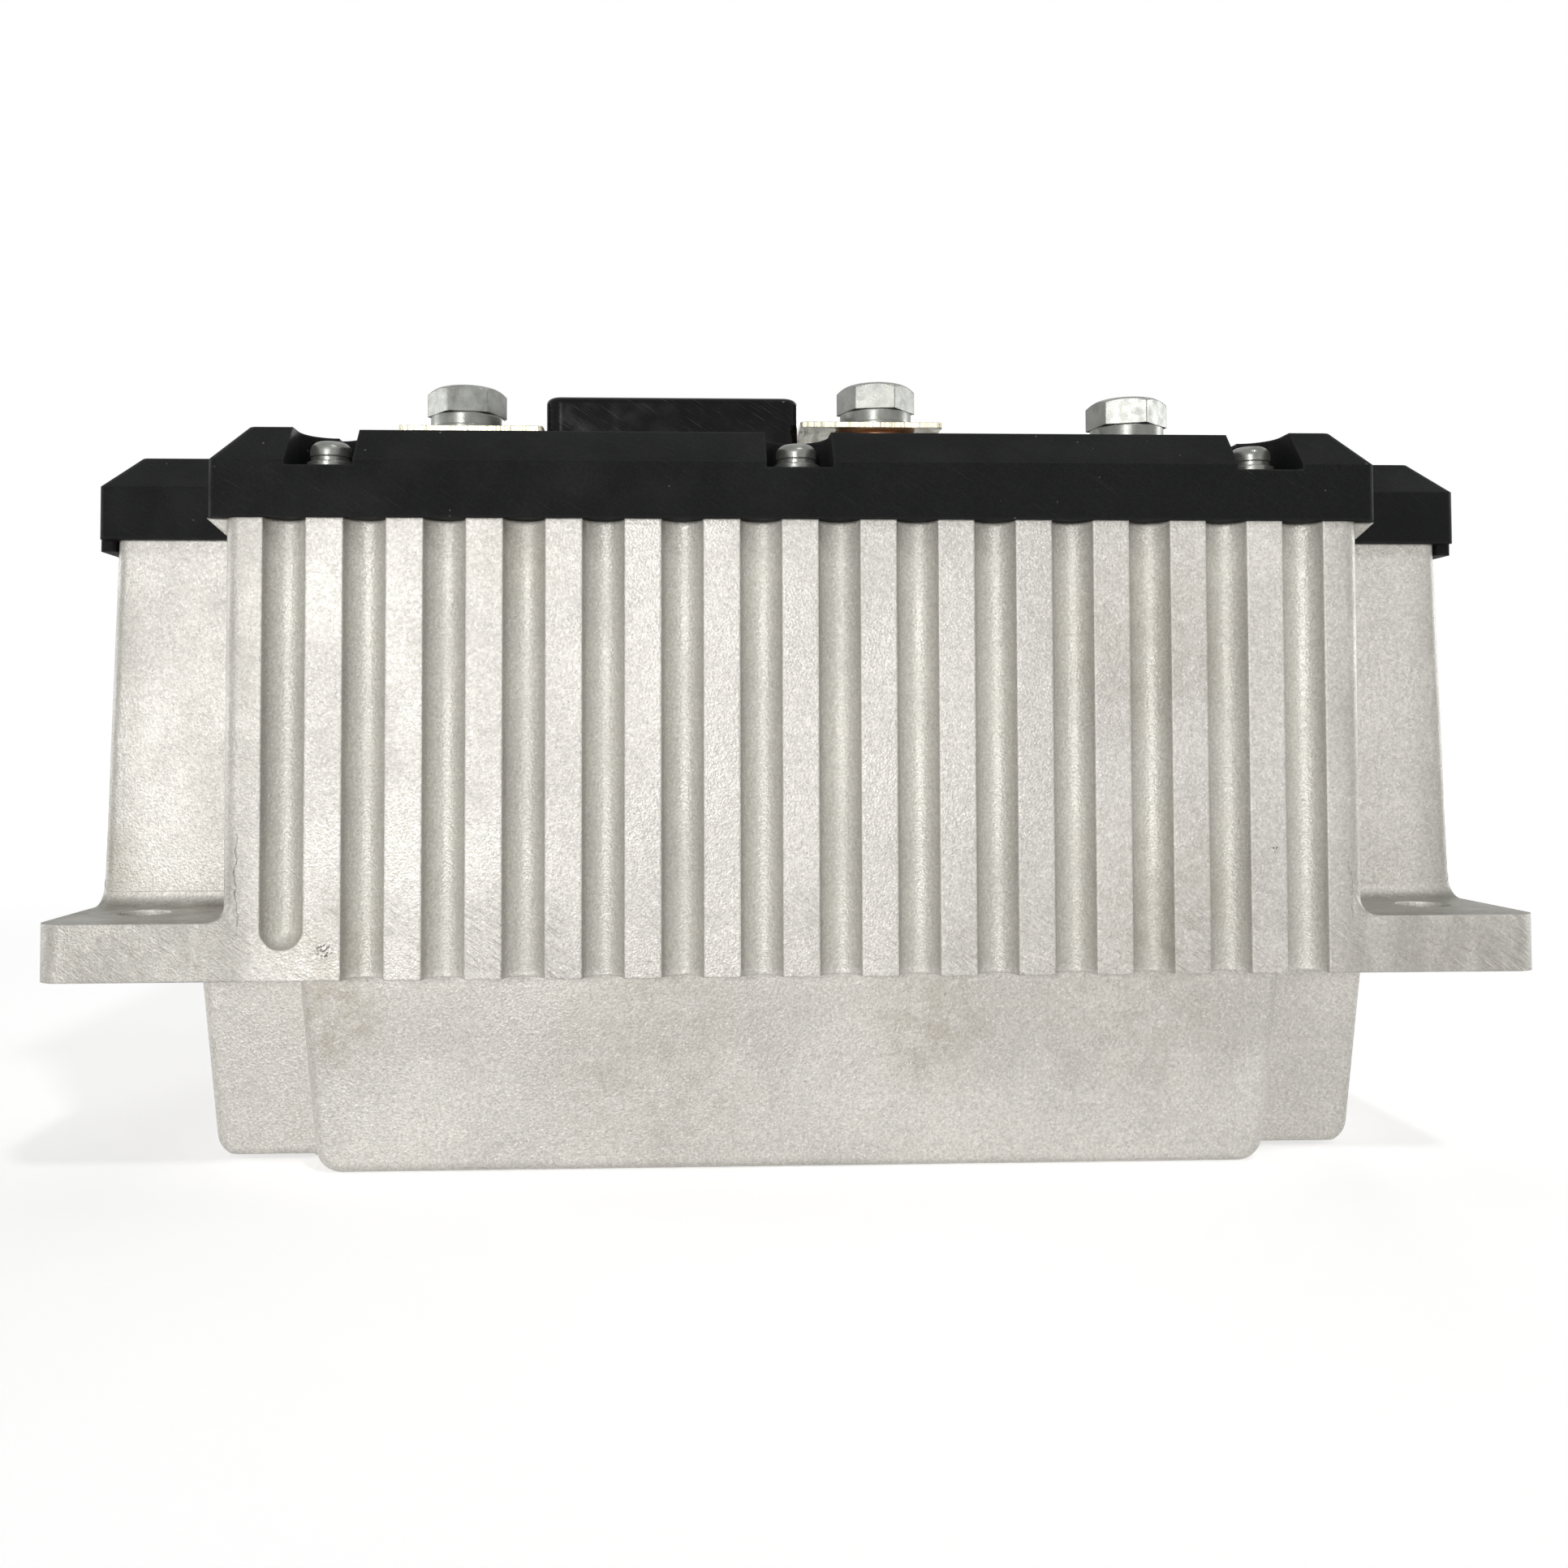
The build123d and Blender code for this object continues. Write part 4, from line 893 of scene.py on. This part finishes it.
@dataclass
class HexBolt:
    """Terminal bolt with a chamfered head and a cut thread, in place of its plain node."""

    wardrobe: Wardrobe
    node: str
    body: Body
    centre: tuple[float, float]
    seat: float
    turn: float
    flats: float = 13.0 * MM
    head: float = 5.3 * MM
    crown: float = 0.465
    foot_chamfer: float = 0.35 * MM
    shank: float = 3.95 * MM
    length: float = 18.0 * MM
    pitch: float = 1.25 * MM
    groove: float = 0.62 * MM
    tip: float = 1.0 * MM
    chamfer: float = 30.0
    spokes: int = 72
    steps_per_turn: int = 10

    def hexagon(self, angle: float) -> float:
        """Distance from the axis to the hexagon's side.

        Args:
            angle: Plan angle in degrees, with a corner at 0.

        Returns:
            The distance in metres.
        """
        return self.flats / 2 / math.cos(math.radians(angle % 60.0 - 30.0))

    def head_rows(self) -> list[list[Point]]:
        """Rings of the head, from the crown's middle down to the seat."""
        rows: list[list[Point]] = [[], [], [], [], []]
        crown_r = self.crown * self.flats
        slope = math.tan(math.radians(self.chamfer))
        for i in range(self.spokes):
            angle = 360.0 * i / self.spokes
            side = self.hexagon(angle)
            flat = min(crown_r, side)
            drop = max(0.0, side - crown_r) * slope
            lift = min(self.foot_chamfer, max(0.0, side - crown_r)) * slope
            turned = math.radians(angle + self.turn)
            x, y = math.cos(turned), math.sin(turned)
            for row, reach, height in ((0, flat * 0.5, self.head), (1, flat, self.head),
                                       (2, side, self.head - drop), (3, side, lift), (4, flat, 0.0)):
                rows[row].append((reach * x, reach * y, height))
        return rows

    def shank_rows(self) -> list[list[Point]]:
        """Rings of the threaded shank, from the seat down to the tip."""
        count = round(self.length / self.pitch * self.steps_per_turn)
        rows = []
        for k in range(count + 1):
            down = self.length * k / count
            cone = max(0.0, down - (self.length - self.tip))
            row = []
            for i in range(self.spokes):
                phase = (down / self.pitch + i / self.spokes) % 1.0
                cut = self.groove * (1.0 - abs(2.0 * phase - 1.0))
                reach = min(self.shank - cut, self.shank - cone)
                turned = 2.0 * math.pi * i / self.spokes
                row.append((reach * math.cos(turned), reach * math.sin(turned), -down))
            rows.append(row)
        return rows

    def build(self) -> None:
        """Makes the bolt and lets it stand for its node."""
        rows = self.head_rows() + self.shank_rows()
        x, y = self.centre
        points = [(x + px, y + py, self.seat + pz) for row in rows for px, py, pz in row]
        faces = [tuple(range(self.spokes))]
        for i in range(len(rows) - 1):
            for j in range(self.spokes):
                a, b = i * self.spokes + j, i * self.spokes + (j + 1) % self.spokes
                faces.append((a, a + self.spokes, b + self.spokes, b))
        faces.append(tuple(reversed(range(len(points) - self.spokes, len(points)))))
        bolt = make_mesh(f"{self.node}_threaded", points, faces)
        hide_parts(self.node)
        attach(bolt, self.body.value)
        self.wardrobe.dress(bolt, Slot.ZINC)
        LOG.info("built %s", bolt.name)


@dataclass
class TerminalBolts:
    """The three terminal bolts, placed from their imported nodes."""

    frame: dict
    wardrobe: Wardrobe
    turns: tuple[float, float, float] = (8.0, -8.0, -17.0)
    head: float = 5.3 * MM

    def build(self) -> None:
        """Makes each bolt where its node is."""
        bolts = {"bolt_left": Body.LEFT_BOLT, "bolt_middle": Body.MIDDLE_BOLT, "bolt_right": Body.RIGHT_BOLT}
        for (node, body), turn in zip(bolts.items(), self.turns):
            low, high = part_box(node)
            centre = ((low[0] + high[0]) / 2, (low[1] + high[1]) / 2)
            HexBolt(self.wardrobe, node, body, centre, high[2] - self.head, turn, head=self.head).build()


@dataclass
class CastingFlash:
    """Ragged seams of flash left on the casting, by the notches and under the rim."""

    wardrobe: Wardrobe
    seed: int = 7
    face: float = 85.0 * MM
    seam_x: float = 92.6 * MM
    low: float = 43.0 * MM
    high: float = 60.0 * MM
    step: float = 0.45 * MM
    width: float = 0.55 * MM
    proud: float = 0.35 * MM
    wander: float = 0.22 * MM

    def seam(self, dice: random.Random, side_x: int, side_y: int) -> tuple[list[Point], Faces]:
        """One upright seam on the block's corner.

        Args:
            dice: Random numbers.
            side_x: Which side, -1 or 1.
            side_y: Front or back, -1 or 1.

        Returns:
            Points and faces of a closed ridge.
        """
        count = round((self.high - self.low) / self.step)
        points: list[Point] = []
        x = self.seam_x
        for i in range(count + 1):
            x += dice.uniform(-self.wander, self.wander) + 0.15 * (self.seam_x - x)
            fade = math.sin(math.pi * i / count) ** 0.5 if 0 < i < count else 0.0
            half = self.width / 2 * (0.4 + dice.random()) * (0.2 + 0.8 * fade)
            out = self.face + self.proud * dice.random() * fade
            z = self.low + i * self.step
            for px, py in ((x - half, self.face - self.width), (x + half, self.face - self.width),
                           (x + half * 0.4, out), (x - half * 0.4, out)):
                points.append((side_x * px, side_y * py, z))
        faces: Faces = [(3, 2, 1, 0), tuple(len(points) - k for k in (4, 3, 2, 1))]
        for i in range(count):
            for j in range(4):
                a, b = 4 * i + j, 4 * i + (j + 1) % 4
                faces.append((a, b, b + 4, a + 4))
        if side_x * side_y < 0:
            faces = [tuple(reversed(f)) for f in faces]
        return points, faces

    def build(self) -> None:
        """Makes a seam at each corner of the block."""
        dice = random.Random(self.seed)
        for side_x in (-1, 1):
            for side_y in (-1, 1):
                points, faces = self.seam(dice, side_x, side_y)
                name = f"flash_{'right' if side_x > 0 else 'left'}_{'back' if side_y > 0 else 'front'}"
                ridge = make_mesh(name, points, faces)
                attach(ridge, Body.CONTROLLER.value)
                self.wardrobe.dress(ridge, Slot.CASTING)
                LOG.info("built %s", name)


# ---- Studio --------------------------------------------------------------------------------------
@dataclass(frozen=True)
class Lamp:
    """Soft rectangular lamp aimed at the object."""

    name: str
    place: Point
    size: float
    power: float
    colour: Colour = (1.0, 1.0, 1.0)
    aim: Point = (0.0, 0.0, 0.07)

    def build(self) -> None:
        """Makes the lamp."""
        data = bpy.data.lights.new(self.name, "AREA")
        data.size = self.size
        data.energy = self.power
        data.color = self.colour
        lamp = bpy.data.objects.new(self.name, data)
        lamp.location = self.place
        lamp.rotation_euler = (Vector(self.aim) - Vector(self.place)).to_track_quat("-Z", "Y").to_euler()
        bpy.context.scene.collection.objects.link(lamp)


@dataclass
class Studio:
    """Pale floor, white surroundings, soft lamps and the camera."""

    floor_radius: float = 6.0
    floor_sides: int = 96
    floor_colour: Colour = (0.80, 0.80, 0.80)
    near_glow: float = 0.56
    glow_start: float = 0.25
    glow_end: float = 1.6
    ambient: float = 0.10
    eye: Point = (-19.895 * MM, -322.69 * MM, 74.63 * MM)
    yaw: float = 0.03868
    pitch: float = 0.03246
    roll: float = 0.00225
    sensor: float = 36.0
    lens: float = 32.946
    nearest: float = 0.01
    shift: tuple[float, float] = (0.03023, -0.05676)

    def seen(self, tree: bpy.types.NodeTree) -> Socket:
        """Tells rays that see the background from rays that light the object.

        Args:
            tree: The node tree to add to.

        Returns:
            1 for camera, glossy and transmission rays.
        """
        path = tree.nodes.new("ShaderNodeLightPath")
        total = path.outputs["Is Camera Ray"]
        for name in ("Is Glossy Ray", "Is Transmission Ray"):
            both = tree.nodes.new("ShaderNodeMath")
            both.operation = "MAXIMUM"
            tree.links.new(total, both.inputs[0])
            tree.links.new(path.outputs[name], both.inputs[1])
            total = both.outputs["Value"]
        return total

    def floor(self) -> None:
        """Makes a round floor that glows to white away from the object."""
        turns = [2 * math.pi * i / self.floor_sides for i in range(self.floor_sides)]
        points = [(self.floor_radius * math.cos(a), self.floor_radius * math.sin(a), 0.0) for a in turns]
        floor = make_mesh("studio_floor", points, [tuple(range(self.floor_sides))], smooth=False)
        graph = Graph("floor")
        graph.feed(graph.shader.inputs["Base Color"], (*self.floor_colour, 1.0))
        graph.shader.inputs["Roughness"].default_value = 0.9
        graph.shader.inputs["Specular IOR Level"].default_value = 0.1
        away = graph.node("ShaderNodeVectorMath", operation="LENGTH")
        graph.join(graph.place, away.inputs[0])
        glow = graph.remap(away.outputs["Value"], self.glow_start, self.glow_end, self.near_glow, 1.0)
        graph.feed(graph.shader.inputs["Emission Strength"], graph.product(glow, self.seen(graph.tree)))
        graph.shader.inputs["Emission Color"].default_value = (1.0, 1.0, 1.0, 1.0)
        floor.data.materials.append(graph.material)

    def world(self) -> None:
        """Makes white surroundings that light the object softly."""
        world = bpy.data.worlds.new("studio")
        world.use_nodes = True
        bpy.context.scene.world = world
        tree = world.node_tree
        tree.nodes.clear()
        background = tree.nodes.new("ShaderNodeBackground")
        background.inputs["Color"].default_value = (1.0, 1.0, 1.0, 1.0)
        output = tree.nodes.new("ShaderNodeOutputWorld")
        strength = tree.nodes.new("ShaderNodeMapRange")
        strength.inputs["To Min"].default_value = self.ambient
        strength.inputs["To Max"].default_value = 1.0
        tree.links.new(self.seen(tree), strength.inputs["Value"])
        tree.links.new(strength.outputs["Result"], background.inputs["Strength"])
        tree.links.new(background.outputs["Background"], output.inputs["Surface"])

    def lamps(self) -> None:
        """Makes a key from the front left, and softer lamps above, behind and at each side."""
        for lamp in (
            Lamp("key", (-0.50, -2.00, 0.28), 0.34, 22.5, (1.0, 0.993, 0.985)),
            Lamp("ceiling", (0.20, -0.62, 0.84), 0.08, 1.9, (0.97, 0.99, 1.0)),
            Lamp("fill", (0.80, -0.80, 0.12), 0.50, 0.25, (1.0, 0.93, 0.80)),
            Lamp("top", (0.0, 0.25, 1.1), 0.70, 0.9),
            Lamp("back", (0.35, 1.70, 0.30), 0.60, 13.0),
            Lamp("right side", (1.60, 0.35, 0.25), 0.60, 8.5),
            Lamp("left side", (-1.60, 0.35, 0.25), 0.60, 7.5),
        ):
            lamp.build()
            LOG.info("placed lamp %s", lamp.name)

    def camera(self) -> None:
        """Makes the camera."""
        data = bpy.data.cameras.new("camera")
        data.sensor_width = self.sensor
        data.lens = self.lens
        data.shift_x, data.shift_y = self.shift
        data.clip_start = self.nearest
        camera = bpy.data.objects.new("camera", data)
        ahead = Vector((math.sin(self.yaw) * math.cos(self.pitch), math.cos(self.yaw) * math.cos(self.pitch),
                        math.sin(self.pitch)))
        level = ahead.to_track_quat("-Z", "Y").to_matrix()
        lean = Euler((0.0, 0.0, -self.roll)).to_matrix()
        camera.location = self.eye
        camera.rotation_euler = (level @ lean).to_euler()
        bpy.context.scene.collection.objects.link(camera)
        bpy.context.scene.camera = camera

    def build(self) -> None:
        """Makes the whole studio."""
        self.floor()
        self.world()
        self.lamps()
        self.camera()
        bpy.context.scene.view_settings.view_transform = "Standard"
        LOG.info("built the studio")


def main() -> None:
    """Builds the dressed controller in its studio."""
    logging.basicConfig(level=logging.INFO, format="%(name)s: %(message)s")
    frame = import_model()
    wardrobe = Wardrobe()
    wardrobe.stock()
    builders: list[Callable[[], None]] = [
        Machine(frame, wardrobe).build,
        NotchCoves(wardrobe).build,
        TerminalBolts(frame, wardrobe).build,
        CastingFlash(wardrobe).build,
        Studio().build,
    ]
    for build in builders:
        build()


if __name__ == "__main__":
    main()
